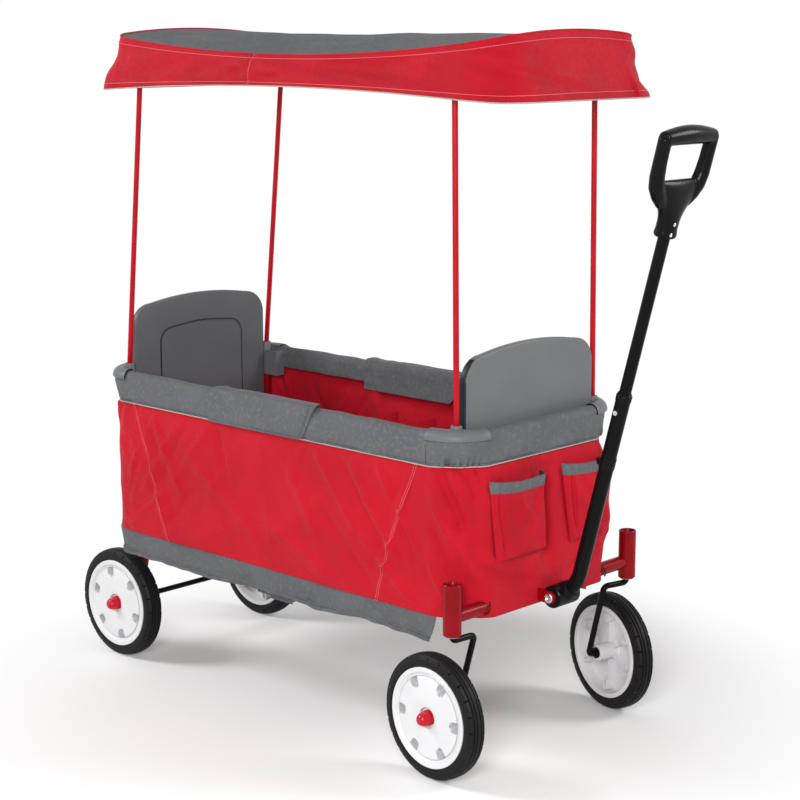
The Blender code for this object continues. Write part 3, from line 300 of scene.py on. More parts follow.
def cloth_finish(name, colour, thread=0.0011, sheen=0.03, streaks=0.0, mottle=0.16):
    """Plain woven polyester: over and under threads with painted shade in the weave's valleys, soft blotches
    and a faint sheen.
    """
    finish = Finish(name, {"Roughness": 0.62, "Sheen Weight": sheen, "Sheen Roughness": 0.45,
                           "Specular IOR Level": 0.1})
    threads = finish.stretched((1 / thread,) * 3, "UV")
    split = tree_node(finish.tree, "ShaderNodeSeparateXYZ", None, {"Vector": threads})
    across, along = (Value(finish.tree, split.outputs[k]) for k in (0, 1))
    over = finish.node("ShaderNodeTexChecker", None, {"Vector": threads, "Scale": 1.0}, 1)
    weave = across.wave() * over + along.wave() * (1 - over)
    blotch = finish.span(finish.noise(11.0, 3.0), 0.34, 0.66)
    lint = finish.noise(160.0, 2.0)
    colour_out = finish.blend(blotch, scaled(colour, 0.93), scaled(colour, 1.07))
    if streaks:
        run = finish.noise(3.0, 2.0, finish.stretched((2.2, 9.0, 2.0), "Object", (0, 0, radians(38))))
        colour_out = finish.blend(finish.span(run, 0.48, 0.7, 0.0, streaks), colour_out, scaled(colour, 1.55))
    colour_out = finish.blend(finish.span(lint, 0.45, 0.75, 0.0, mottle), colour_out, scaled(colour, 1.45))
    # Painted shade: the weave's valleys are darkened towards 0.62 of the colour.
    colour_out = finish.blend((1 - weave) * 0.16, colour_out, scaled(colour, 0.62))
    finish.set("Base Color", colour_out)
    finish.set("Roughness", finish.span(lint, 0.3, 0.7, 0.5, 0.7))
    finish.bump((blotch, 0.0008), (weave, 0.00016))
    return finish.material


def enamel_finish(name, colour, roughness, gloss):
    """Baked enamel: a clear gloss over a slightly uneven coat."""
    finish = Finish(name, {"Roughness": roughness, "Specular IOR Level": gloss, "Coat Weight": gloss,
                           "Coat Roughness": 0.08})
    coat = finish.noise(420.0, 2.0)
    patch = finish.noise(22.0, 2.0)
    finish.set("Base Color", finish.blend(finish.span(patch, 0.35, 0.65), scaled(colour, 0.92),
                                          scaled(colour, 1.06)))
    finish.set("Roughness", finish.span(coat, 0.3, 0.7, roughness * 0.95, roughness * 1.08))
    finish.bump((patch, 0.00006))
    return finish.material


def moulded_finish(name, colour, roughness, grain=0.00008, gloss=0.0, shine=0.18):
    """Injection moulded plastic with a fine spark eroded grain."""
    finish = Finish(name, {"Roughness": roughness, "Specular IOR Level": shine, "Coat Weight": gloss,
                           "Coat Roughness": 0.12})
    grit = finish.noise(900.0, 3.0)
    flow = finish.noise(9.0, 2.0)
    scuff = finish.span(finish.noise(60.0, 4.0), 0.58, 0.74, 0.0, 0.12)
    shade = finish.blend(finish.span(flow, 0.35, 0.65), scaled(colour, 0.96), scaled(colour, 1.04))
    finish.set("Base Color", finish.blend(scuff, shade, scaled(colour, 1.25)))
    finish.set("Roughness", finish.span(grit, 0.3, 0.7, roughness * 0.88, roughness * 1.12))
    finish.bump((flow, 0.0004), (grit, grain))
    return finish.material


def rubber_finish(name, colour):
    finish = Finish(name, {"Roughness": 0.5, "Specular IOR Level": 0.14})
    dust = finish.span(finish.noise(40.0, 4.0), 0.48, 0.72, 0.0, 0.25)
    grit = finish.noise(700.0, 2.0)
    finish.set("Base Color", finish.blend(dust, colour, scaled(colour, 2.4)))
    finish.set("Roughness", finish.span(grit, 0.3, 0.7, 0.42, 0.58))
    finish.bump((grit, 0.00008))
    return finish.material


def steel_finish(name, colour):
    finish = Finish(name, {"Metallic": 1.0, "Roughness": 0.25})
    scratch = finish.noise(30.0, 3.0, finish.stretched((6.0, 60.0, 6.0)))
    finish.set("Base Color", finish.blend(finish.span(scratch, 0.35, 0.65), scaled(colour, 0.8), colour))
    finish.set("Roughness", finish.span(scratch, 0.3, 0.7, 0.18, 0.36))
    finish.bump((scratch, 0.00005))
    return finish.material


def finish_of(name):
    """Gives a finish by its name, and makes it when it is first asked for."""
    found = bpy.data.materials.get(name)
    if found:
        return found
    tint = colours()
    makers = {
        "tub_cloth": (cloth_finish, tint.red_cloth, 1),
        "band_cloth": (cloth_finish, tint.grey_cloth, 1, 0.0014, 0.05, 0.0, 0.75),
        # Tub cloth at 0.88: painted shade that tones down the canopy border, which the lamps light fully.
        "border_cloth": (cloth_finish, tint.red_cloth, 0.88),
        "roof_cloth": (cloth_finish, tint.grey_cloth, 0.76, 0.0011, 0.04, 0.45),
        "dark_binding": (cloth_finish, (0.03, 0.006, 0.008), 1, 0.001, 0.05),
        "dark_lining": (cloth_finish, tint.grey_cloth, 0.35, 0.001, 0.05),
        "pale_piping": (cloth_finish, tint.piping, 1, 0.0008, 0.05),
        "rose_edge": (cloth_finish, (0.8, 0.27, 0.29), 1, 0.0008, 0.05),
        "red_enamel": (enamel_finish, tint.enamel, 1, 0.28, 0.08),
        # Frame enamel brightened 1.9 times: painted light standing in for the poles' highlights.
        "pole_enamel": (enamel_finish, tint.enamel, 1.9, 0.32, 0.1),
        "black_enamel": (enamel_finish, tint.black, 1, 0.24, 0.05),
        "grey_moulding": (moulded_finish, tint.moulding, 1, 0.42),
        # Grey moulding at 0.72: painted shade for the rear seat back, which the middle joint plates share.
        "deep_moulding": (moulded_finish, tint.moulding, 0.72, 0.42),
        "shaded_edge": (moulded_finish, tint.moulding, 0.1, 0.42),
        "black_moulding": (moulded_finish, tint.black, 1, 0.26, 0.00002, 0.06, 0.07),
        "white_moulding": (moulded_finish, tint.disc, 1, 0.45, 0.00004),
        # Disc at 0.62 for the scoops' floors: painted shade.
        "scoop_shade": (moulded_finish, tint.disc, 0.62, 0.45, 0.00004),
        "red_moulding": (moulded_finish, tint.red_cloth, 1, 0.25, 0.00002, 0.2),
        "tyre_rubber_look": (rubber_finish, tint.rubber, 1),
        "plated_steel": (steel_finish, (0.78, 0.77, 0.75), 1),
        "grey_washer": (moulded_finish, (0.25, 0.26, 0.27), 1, 0.5),
    }
    maker, colour, share, *rest = makers[name]
    return maker(name, scaled(colour, share), *rest)


def frames_along(path):
    """Unit side and up vectors along a path, turned as little as possible."""
    path = [Vector(point) for point in path]
    side = None
    out = []
    for number, point in enumerate(path):
        before, after = path[max(number - 1, 0)], path[min(number + 1, len(path) - 1)]
        tangent = (after - before).normalized()
        if side is None:
            side = Vector((0, 0, 1)).cross(tangent)
            if side.length < 0.001:
                side = Vector((0, 1, 0))
        side = (side - tangent * side.dot(tangent)).normalized()
        out.append((point, side, tangent.cross(side)))
    return out


class Shape:
    """Points, faces, UVs and finish numbers of one piece, before its mesh is made."""

    def __init__(self):
        self.points, self.faces, self.uvs, self.looks = [], [], [], []

    def grid(self, rows, uv=None, closed=False, look=0):
        """Adds a lattice of quads. closed joins each row's two ends."""
        rows = np.asarray(rows, float)
        high, wide = rows.shape[:2]
        loop = np.concatenate([rows, rows[:, :1]], axis=1) if closed else rows
        if uv is None:
            run = np.linalg.norm(np.diff(loop, axis=1), axis=2).mean(0)
            rise = np.linalg.norm(np.diff(loop, axis=0), axis=2).mean(1)
            u = np.concatenate([[0], np.cumsum(run)])
            v = np.concatenate([[0], np.cumsum(rise)])
            uv = np.stack(np.meshgrid(u, v), axis=-1)
        base = len(self.points)
        self.points.extend(rows.reshape(-1, 3).tolist())
        for i in range(high - 1):
            for j in range(wide if closed else wide - 1):
                k = (j + 1) % wide
                self.faces.append((base + i * wide + j, base + i * wide + k,
                                   base + (i + 1) * wide + k, base + (i + 1) * wide + j))
                self.uvs.append((uv[i][j], uv[i][j + 1], uv[i + 1][j + 1], uv[i + 1][j]))
                self.looks.append(look)

    def sheet(self, rows, thick, out=1, closed=False, look=0, under=None, shut=False):
        """Adds a thin cloth: the given outer skin, an inner skin, and the border between.

        shut means that the last row is folded onto itself, level, and has no border.
        """
        rows = np.asarray(rows, float)
        if closed:
            run = (np.roll(rows, -1, axis=1) - np.roll(rows, 1, axis=1)) / 2
        else:
            run = np.gradient(rows, axis=1)
        normal = np.cross(run, np.gradient(rows, axis=0))
        length = np.linalg.norm(normal, axis=2, keepdims=True)
        normal = normal / np.maximum(length, 1e-12) * out
        inner = rows - normal * thick
        if shut:
            inner[-1] = rows[-1] - np.array((0.0, 0.0, thick))
        self.grid(rows, closed=closed, look=look)
        self.grid(inner, closed=closed, look=look if under is None else under)
        for row in (0,) if shut else (0, -1):
            self.grid([rows[row], inner[row]], closed=closed, look=look)
        if not closed:
            for column in (0, -1):
                self.grid([rows[:, column], inner[:, column]], look=look)

    def tube(self, path, radius, sides=24, look=0):
        """Adds a round bar with flat ends along a path. radius may be one for each point."""
        steps = frames_along(path)
        radii = radius if hasattr(radius, "__len__") else [radius] * len(steps)
        turn = [2 * pi * k / sides for k in range(sides)]
        rows = [[tuple(point + (side * cos(a) + up * sin(a)) * r) for a in turn]
                for (point, side, up), r in zip(steps, radii)]
        self.capped(rows, look)

    def capped(self, rows, look=0):
        """Adds a solid piece from its rings, and closes both ends flat."""
        ends = [[tuple(np.mean(row, axis=0))] * len(row) for row in (rows[0], rows[-1])]
        self.grid([ends[0], *rows, ends[1]], closed=True, look=look)

    def end_face(self, ring, count, look=0):
        """Closes a hollow end between its skin, which is the ring's first points, and its lining."""
        outer, lining = ring[:count], ring[count:][::-1]
        pick = np.linspace(0, len(lining) - 1, len(outer)).round().astype(int)
        self.grid([outer, [lining[k] for k in pick]], look=look)

    def lathe(self, profile, place, segments=64, look=0, shift=None):
        """Turns (radius, offset) points round a local Y axis. place is the matrix to the wagon."""
        rows = []
        for radius, offset in profile:
            ring = []
            for k in range(segments):
                a = 2 * pi * k / segments
                r, y = (radius, offset) if shift is None else shift(radius, offset, k, a)
                ring.append(tuple(place @ Vector((r * cos(a), y, r * sin(a)))))
            rows.append(ring)
        self.grid(rows, closed=True, look=look)

    def block(self, low, high, look=0):
        """Adds a box between two corners."""
        (x0, y0, z0), (x1, y1, z1) = low, high
        self.capped([[(x0, y, z0), (x1, y, z0), (x1, y, z1), (x0, y, z1)] for y in (y0, y1)], look)

    def mesh(self, name, looks, smooth):
        mesh = bpy.data.meshes.new(name)
        points = np.asarray(self.points) + np.array(AXLE)
        mesh.from_pydata(points.tolist(), [], self.faces)
        layer = mesh.uv_layers.new(name="UVMap")
        layer.data.foreach_set("uv", np.asarray(self.uvs, float).ravel())
        mesh.polygons.foreach_set("material_index", self.looks)
        for look in looks:
            mesh.materials.append(finish_of(look))
        tidy(mesh, smooth)
        return mesh

    def make(self, name, body, looks, slot, replaces=(), smooth=38, fold=None):
        looks = [looks] if isinstance(looks, str) else looks
        return settle(linked(name, self.mesh(name, looks, smooth)), body, replaces, fold)


def tidy(mesh, smooth):
    """Merges doubles, drops faces without area, turns the faces outwards and smooths them."""
    bm = bmesh.new()
    bm.from_mesh(mesh)
    bmesh.ops.remove_doubles(bm, verts=bm.verts, dist=2e-6)
    bmesh.ops.dissolve_degenerate(bm, edges=bm.edges, dist=1e-6)
    bmesh.ops.recalc_face_normals(bm, faces=bm.faces)
    bm.to_mesh(mesh)
    bm.free()
    mesh.shade_smooth()
    mesh.set_sharp_from_angle(angle=radians(smooth))


def settle(piece, body, replaces=(), fold=None):
    """Says which body carries a piece, hides the parts it replaces and, when fold is given, calls it on the
    piece.
    """
    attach(piece, body)
    if replaces:
        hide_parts(*replaces)
    if fold:
        fold(piece)
    return piece


def applied(piece):
    """Turns an object with live modifiers into its plain evaluated mesh."""
    graph = bpy.context.evaluated_depsgraph_get()
    mesh = bpy.data.meshes.new_from_object(piece.evaluated_get(graph), depsgraph=graph)
    mesh.name = piece.name
    piece.modifiers.clear()
    piece.data = mesh
    return mesh


def new_tree(name, sockets):
    """A Geometry Nodes tree with its named inputs, and its two ends."""
    tree = bpy.data.node_groups.new(name, "GeometryNodeTree")
    tree.interface.new_socket("Geometry", in_out="INPUT", socket_type="NodeSocketGeometry")
    tree.interface.new_socket("Geometry", in_out="OUTPUT", socket_type="NodeSocketGeometry")
    for label, kind in sockets:
        tree.interface.new_socket(label, in_out="INPUT", socket_type=kind)
    return tree, tree.nodes.new("NodeGroupInput"), tree.nodes.new("NodeGroupOutput")


def tree_end(tree, geometry, group_in, group_out):
    real = tree_node(tree, "GeometryNodeRealizeInstances", None, {"Geometry": geometry})
    look = tree_node(tree, "GeometryNodeSetMaterial", None,
                     {"Geometry": real.outputs[0], "Material": group_in.outputs["Finish"]})
    tree.links.new(look.outputs[0], group_out.inputs[0])


def ring_tree():
    """Copies its geometry round the Y axis."""
    found = bpy.data.node_groups.get("Copies round an axle")
    if found:
        return found
    tree, start, end = new_tree("Copies round an axle", [("Count", "NodeSocketInt"),
                                                         ("Finish", "NodeSocketMaterial")])
    spots = tree_node(tree, "GeometryNodeMeshLine", None, {"Count": start.outputs["Count"],
                                                           "Offset": (0.0, 0.0, 0.0)})
    index = tree_node(tree, "GeometryNodeInputIndex")
    turn = Value(tree, index.outputs[0]) * (2 * pi) / Value(tree, start.outputs["Count"])
    spin = tree_node(tree, "ShaderNodeCombineXYZ", None, {"Y": turn})
    copies = tree_node(tree, "GeometryNodeInstanceOnPoints", None,
                       {"Points": spots.outputs[0], "Instance": start.outputs["Geometry"],
                        "Rotation": spin.outputs[0]})
    tree_end(tree, copies.outputs[0], start, end)
    return tree


def stitch_tree():
    """Lays small round ended stitches along its edges."""
    found = bpy.data.node_groups.get("Stitches along a seam")
    if found:
        return found
    tree, start, end = new_tree("Stitches along a seam", [("Pitch", "NodeSocketFloat"),
                                                          ("Length", "NodeSocketFloat"),
                                                          ("Thread", "NodeSocketFloat"),
                                                          ("Finish", "NodeSocketMaterial")])
    curve = tree_node(tree, "GeometryNodeMeshToCurve", None, {"Mesh": start.outputs["Geometry"]})
    spots = tree_node(tree, "GeometryNodeCurveToPoints", {"mode": "LENGTH"},
                      {"Curve": curve.outputs[0], "Length": start.outputs["Pitch"]})
    aligned = tree_node(tree, "FunctionNodeAlignRotationToVector", {"axis": "X"},
                        {"Vector": spots.outputs["Tangent"]})
    bead = tree_node(tree, "GeometryNodeMeshUVSphere", None, {"Segments": 6, "Rings": 4, "Radius": 0.5})
    size = tree_node(tree, "ShaderNodeCombineXYZ", None,
                     {"X": start.outputs["Length"], "Y": start.outputs["Thread"],
                      "Z": start.outputs["Thread"]})
    copies = tree_node(tree, "GeometryNodeInstanceOnPoints", None,
                       {"Points": spots.outputs["Points"], "Instance": bead.outputs[0],
                        "Rotation": aligned.outputs[0], "Scale": size.outputs[0]})
    tree_end(tree, copies.outputs[0], start, end)
    return tree


def run_tree(piece, tree, **values):
    """Puts a tree on an object, sets its inputs by identifier and turns the result to a mesh."""
    modifier = piece.modifiers.new("make", "NODES")
    modifier.node_group = tree
    for item in tree.interface.items_tree:
        if item.item_type == "SOCKET" and item.in_out == "INPUT" and item.name in values:
            modifier[item.identifier] = values[item.name]
    mesh = applied(piece)
    mesh.shade_smooth()
    return mesh


def stitches(name, lines, body, look="dark_lining", pitch=None, fold=None):
    """Sews along lines of points in the wagon's frame."""
    mesh = bpy.data.meshes.new(name)
    points, edges = [], []
    for line in lines:
        base = len(points)
        points += [tuple(Vector(point) + AXLE) for point in line]
        edges += [(base + k, base + k + 1) for k in range(len(line) - 1)]
    mesh.from_pydata(points, edges, [])
    piece = linked(name, mesh)
    scale = sizes()
    run_tree(piece, stitch_tree(), Pitch=pitch or scale.stitch * 1.45, Length=scale.stitch,
             Thread=scale.thread, Finish=finish_of(look))
    return settle(piece, body, (), fold)


def fillet(before, corner, after, radius, steps):
    """Points of the arc that rounds a corner between its neighbours."""
    a, b = (before - corner).normalized(), (after - corner).normalized()
    half = a.angle(b) / 2
    reach = radius / (sin(half) / cos(half))
    start, end = corner + a * reach, corner + b * reach
    centre = corner + (a + b).normalized() * (radius / sin(half))
    return [centre + (start.lerp(end, k / steps) - centre).normalized() * radius for k in range(steps + 1)]


def rounded(points, radius, steps=8):
    """Replaces the inner corners of a path by arcs."""
    points = [Vector(point) for point in points]
    out = [points[0]]
    for before, corner, after in zip(points, points[1:], points[2:]):
        out += fillet(before, corner, after, radius, steps)
    return out + [points[-1]]


def soft(value):
    value = np.clip(value, 0.0, 1.0)
    return value * value * (3 - 2 * value)


def soft_noise(u, v, seed):
    """Smooth noise over two arrays, from about -1 to 1."""
    u, v = np.broadcast_arrays(u, v)
    flat = [noise.noise(Vector((a, b + 0.37, seed + 0.41))) for a, b in zip(u.ravel(), v.ravel())]
    return np.reshape(flat, u.shape) * 1.6


def crease(u, v, start, end, width, depth):
    """A fold along a line between two (u, v) spots: sharp on one side and soft on the other."""
    line = np.array(end, float) - np.array(start, float)
    length = np.linalg.norm(line)
    line /= length
    du, dv = u - start[0], v - start[1]
    along = (du * line[0] + dv * line[1]) / length
    across = (du * -line[1] + dv * line[0]) / width
    across = np.where(across > 0, across * 1.4, across * 0.6)
    return depth * np.exp(-across ** 2 * 2) * soft(along / 0.3 + 0.2) * soft((1 - along) / 0.3 + 0.2)


def creases(u, v, table, share=1.0):
    """Adds up folds, each from (u, v) to (u, v) with a width and a depth, all in thousandths."""
    total = 0.0
    for row in mm(*table):
        total = total + share * crease(u, v, row[:2], row[2:4], *row[4:])
    return total


def mirrored(x, front):
    return x if front else 2 * MID_X - x


def end_line(front, reach, step=0.004):
    """The end rim's line from the left side round to the right: points, normals and run."""
    corner = CORNER_R[front]
    heart = np.array((RIM[0] - corner, RIM[1] - corner))
    side = np.linspace(reach, heart[0], max(2, ceil((heart[0] - reach) / step)), endpoint=False)
    turn = np.linspace(pi / 2, 0, ceil(corner * pi / 2 / step) + 1)
    front_y = np.linspace(heart[1], -heart[1], ceil(2 * heart[1] / step) + 1)[1:-1]
    points = [(x, RIM[1]) for x in side]
    points += [(heart[0] + corner * cos(a), heart[1] + corner * sin(a)) for a in turn]
    normals = [(0, 1)] * len(side) + [(cos(a), sin(a)) for a in turn]
    points = points + [(RIM[0], y) for y in front_y] + [(x, -y) for x, y in reversed(points)]
    normals = normals + [(1, 0)] * len(front_y) + [(x, -y) for x, y in reversed(normals)]
    points, normals = np.array(points), np.array(normals, float)
    if not front:
        points[:, 0] = 2 * MID_X - points[:, 0]
        normals[:, 0] *= -1
    outer = points + normals * WALL_OUT
    run = np.concatenate([[0], np.cumsum(np.linalg.norm(np.diff(outer, axis=0), axis=1))])
    return points, normals, run - run[-1] / 2


def corner_pull(line):
    """How strongly the cloth is drawn inwards below an end's rounded corner, from 0 to 1."""
    return soft(2 * np.abs(line[1][:, 0] * line[1][:, 1]))


def side_line(side, ends, step=0.005):
    """The straight line over the rails of one side: points, normals and run."""
    x = np.linspace(ends[0], ends[1], ceil((ends[1] - ends[0]) / step) + 1)
    points = np.stack([x, np.full_like(x, side * RIM[1])], axis=1)
    normals = np.tile([0.0, float(side)], (len(x), 1))
    return points, normals, x


def swept(line, outs, heights):
    """Rows of points that stand outs from a line and heights above the ground."""
    points, normals, _ = line
    rows = []
    for out, height in zip(outs, heights):
        flat = points + normals * np.broadcast_to(out, len(points))[:, None]
        rows.append(np.concatenate([flat, np.broadcast_to(height, len(points))[:, None]], axis=1))
    return np.array(rows)


def swell(z, y):
    """How far the front cloth leans outwards, from the rim down to the cross tube."""
    tall = np.clip((0.486 - z) / 0.19, 0.0, 1.0)
    wide = soft((0.168 - np.abs(y)) / 0.038)
    return 0.0175 * tall * wide


class Step(bpy.types.Operator):
    """Shared by the wagon's build steps."""
    bl_options = {"REGISTER", "UNDO"}

    def execute(self, context):
        self.build()
        return {"FINISHED"}


def wheel_place(centre, yaw, side):
    """Matrix from a wheel's own frame, with +Y on its outside, to the wagon."""
    return Matrix.Translation(centre) @ Matrix.Rotation(yaw + (0 if side > 0 else pi), 4, "Z")


class WAGON_OT_wheels(Step, bpy.types.Operator):
    """Tyres with grooves and shoulder slits, scooped discs with ribs, and hub caps"""
    bl_idname = "wagon.wheels"
    bl_label = "Wheels"

    SLITS = 24
    SCOOPS = 6

    def build(self):
        for name, side in SIDES:
            place = wheel_place((0, side * REAR_HALF_TRACK, WHEEL_R), 0.0, side)
            self.wheel(f"rear_{name}", place, radians(13))
            yaw = CASTER_YAW[name]
            pin = Vector((CASTER[0], side * CASTER[1], WHEEL_R))
            hub = pin - Vector((cos(yaw), sin(yaw), 0)) * CASTER_TRAIL
            self.wheel(f"front_{name}", wheel_place(hub, yaw, side), radians(30))

    def wheel(self, name, place, turned):
        body = f"{name}_wheel"
        self.tyre(name, place, body)
        self.disc(name, place @ Matrix.Rotation(turned, 4, "Y"), body)
        self.cap(name, place, body)

    def tyre(self, name, place, body):
        groove = sizes().groove
        inner = DISC_R + 0.0002
        depths = [(0, 0), (0.0001, 0.0026), (groove, 0.0034), (groove, 0.0044), (0.0003, 0.0052),
                  (0.0006, 0.0078), (groove + 0.0006, 0.0086), (groove + 0.0006, 0.0096), (0.0012, 0.0104),
                  (0.0022, 0.0124), (0.004, 0.0141), (0.0054, 0.0146), (0.0064, 0.0143), (0.0072, 0.015),
                  (0.0105, TYRE_HALF)]
        half = [(WHEEL_R - down, y) for down, y in depths]
        half += [(inner + 0.004, TYRE_HALF), (inner + 0.0012, 0.0156), (inner, 0.0148)]
        profile = [(r, -y) for r, y in reversed(half)] + half[1:]
        profile.append(profile[0])
        per_slit = 16

        def slit(radius, offset, k, a):
            cut = k % per_slit == 0 and WHEEL_R - 0.0066 < radius < WHEEL_R - 0.001 and abs(offset) > 0.011
            return (radius - 0.0014, offset - 0.0016 * (1 if offset > 0 else -1)) if cut else (radius, offset)

        shape = Shape()
        shape.lathe(profile, place, self.SLITS * per_slit, shift=slit)
        shape.make(f"{name}_tyre_moulded", body, "tyre_rubber_look", "tyre_rubber", [f"{name}_tyre"], 32)

    def disc(self, name, place, body):
        scoop = sizes().scoop
        rim = [(DISC_R, -DISC_HALF + 0.0006), (DISC_R, DISC_HALF - 0.0006), (DISC_R - 0.0006, DISC_HALF),
               (0.0735, DISC_HALF), (0.0722, DISC_HALF - 0.0006)]
        face = mm((70.6, 14.6), (69.4, 13.4), (68.4, 13.1), (67, 13.2), (65.5, 14.6), (64, 15.2),
                  (62.2, 15.3), (60, 15.4), (57.8, 15.5), (55.6, 15.6), (53.4, 15.7), (51.2, 15.8),
                  (49, 15.9), (46.8, 16), (43, 16.1), (36, 16.3), (29, 16.5), (22.5, 16.6), (18, 16.6),
                  (16.8, 16.2), (16, 10.5), (14, 10), (5.3, 10))
        back = [(0.0053, -HUB_IN), (0.013, -HUB_IN), (0.014, -HUB_IN + 0.001), (0.015, 0.004),
                (0.0175, 0.0062), (0.066, 0.0062), (0.07, 0.004), (0.0718, -DISC_HALF + 0.004),
                (0.0722, -DISC_HALF + 0.0006), (0.0728, -DISC_HALF), (DISC_R - 0.0006, -DISC_HALF), rim[0]]

        def scooped(radius, offset, k, a):
            if offset < 0.0125 or not 0.044 < radius < 0.0668:
                return radius, offset
            turn = (a * self.SCOOPS / (2 * pi)) % 1.0 - 0.5
            across = abs(turn) * 2 * pi / self.SCOOPS * radius
            inner_end = 0.0505 + 0.003 * (across / 0.0065) ** 2
            depth = soft((0.0082 - across) / 0.0022) * soft((radius - inner_end + 0.0018) / 0.004)
            return radius, offset - (scoop - (0.016 - offset)) * float(depth)

        shape = Shape()
        shape.lathe(rim + face + back, place, self.SCOOPS * 36, shift=scooped)
        # The faces in the scoops' floors take scoop_shade, a darker copy of the disc finish: painted shade.
        local = place.inverted()
        for number, corners in enumerate(shape.faces):
            spot = local @ (sum((Vector(shape.points[k]) for k in corners), Vector()) / 4)
            if 0.046 < sqrt(spot.x ** 2 + spot.z ** 2) < 0.0668 and 0.0064 < spot.y < 0.0142:
                shape.looks[number] = 1
        shape.make(f"{name}_disc_moulded", body, ["white_moulding", "scoop_shade"], "white_plastic",
                   [f"{name}_disc"], 40)

        self.ribs(f"{name}_disc_ribs", place, body)

    def ribs(self, name, place, body):
        """A spoke and a hollow boss behind each scoop."""
        spoke = Shape()
        front, low, heart = 0.0064, -DISC_HALF + 0.006, 0.0605
        bar = ((0.0135, 0.0008), (0.053, 0.0006))
        for sign in (1, -1):
            spoke.grid([[(x, y, sign * w) for x, w in bar] for y in (front, low + 0.006)])
        spoke.grid([[(x, low + 0.006, sign * w) for x, w in bar] for sign in (1, -1)])
        outline = []
        for k in range(24):
            a = 2 * pi * k / 24
            outline.append((heart + 0.0046 * (1 if cos(a) > 0 else -1) + 0.0052 * cos(a), 0.0052 * sin(a)))
        hollow = [((x - heart) * 0.8 + heart, z * 0.7) for x, z in outline]
        levels = ((outline, front), (outline, low), (hollow, low), (hollow, low + 0.007),
                  ([(heart, 0.0)] * len(hollow), low + 0.007))
        spoke.grid([[(x, y, z) for x, z in ring] for ring, y in levels], closed=True)
        mesh = bpy.data.meshes.new(name)
        mesh.from_pydata(spoke.points, [], spoke.faces)
        tidy(mesh, 35)
        piece = linked(name, mesh)
        mesh = run_tree(piece, ring_tree(), Count=self.SCOOPS, Finish=finish_of("white_moulding"))
        mesh.transform(Matrix.Translation(AXLE) @ place)
        mesh.set_sharp_from_angle(angle=radians(35))
        settle(piece, body)

    def cap(self, name, place, body):
        """An acorn cap: a flange, a soft hexagon and a rounded crown."""
        foot = HUB_OUT - 0.006
        dome = mm((0, 0), (11.8, 0), (12.2, 2), (12.2, 6.5), (11.2, 8.5), (10.8, 14), (9.8, 18), (7.8, 21),
                  (4.6, 23), (0, 23.7))
        profile = [(radius, foot + out) for radius, out in dome]

        def hexagon(radius, offset, k, a):
            share = soft((offset - foot - 0.0075) / 0.002) * soft((foot + 0.021 - offset) / 0.004)
            side = cos(pi / 6) / cos((a % (pi / 3)) - pi / 6)
            return radius * (1 + float(share) * (side * 1.06 - 1) * 0.75), offset

        shape = Shape()
        shape.lathe(profile, place, 48, shift=hexagon)
        shape.make(f"{name}_hub_cap_moulded", body, "red_moulding", "red_plastic", [f"{name}_hub_cap"], 45)


def washer(hole, edge, low, high):
    """A flat ring's closed profile."""
    return [(hole, low), (edge, low), (edge, high), (hole, high), (hole, low)]


class WAGON_OT_running_gear(Step, bpy.types.Operator):
    """Bent caster rods, the rear axle and their washers"""
    bl_idname = "wagon.running_gear"
    bl_label = "Casters and axle"

    def build(self):
        for name, side in SIDES:
            yaw = CASTER_YAW[name]
            turn = Matrix.Translation((CASTER[0], side * CASTER[1], 0)) @ Matrix.Rotation(yaw, 4, "Z")
            run, step = CRANK_STEP
            inboard = -side * run
            path = [(0, 0, CASTER_TUBE[2] - 0.016), (0, 0, step), (0, inboard, step),
                    (-CASTER_TRAIL, inboard, WHEEL_R), (-CASTER_TRAIL, side * (HUB_OUT - 0.003), WHEEL_R)]
            shape = Shape()
            shape.tube([turn @ point for point in rounded(path, 0.0085, 8)], CRANK_R, 20)
            for offset in (HUB_IN + 0.0008, HUB_IN + 0.003):
                across = Matrix.Translation((-CASTER_TRAIL, -side * offset, WHEEL_R))
                shape.lathe(washer(0.0048, 0.0092, 0.0, 0.0012), turn @ across, 32)
            shape.make(f"{name}_caster_rod", f"{name}_caster", "black_enamel", "black_paint",
                       [f"{name}_caster_crank"])
        shape = Shape()
        reach = REAR_HALF_TRACK + HUB_OUT - 0.003
        shape.tube([(0, -reach, WHEEL_R), (0, reach, WHEEL_R)], 0.005, 20)
        for side in (1, -1):
            for near in (REAR_HALF_TRACK - HUB_IN - 0.0022, 0.1431):
                place = Matrix.Translation((0, side * near, WHEEL_R))
                shape.lathe(washer(0.0048, 0.0095, 0.0, 0.0012), place, 32)
        shape.make("rear_axle_rod", "rear_end", "black_enamel", "black_paint", ["rear_axle"])


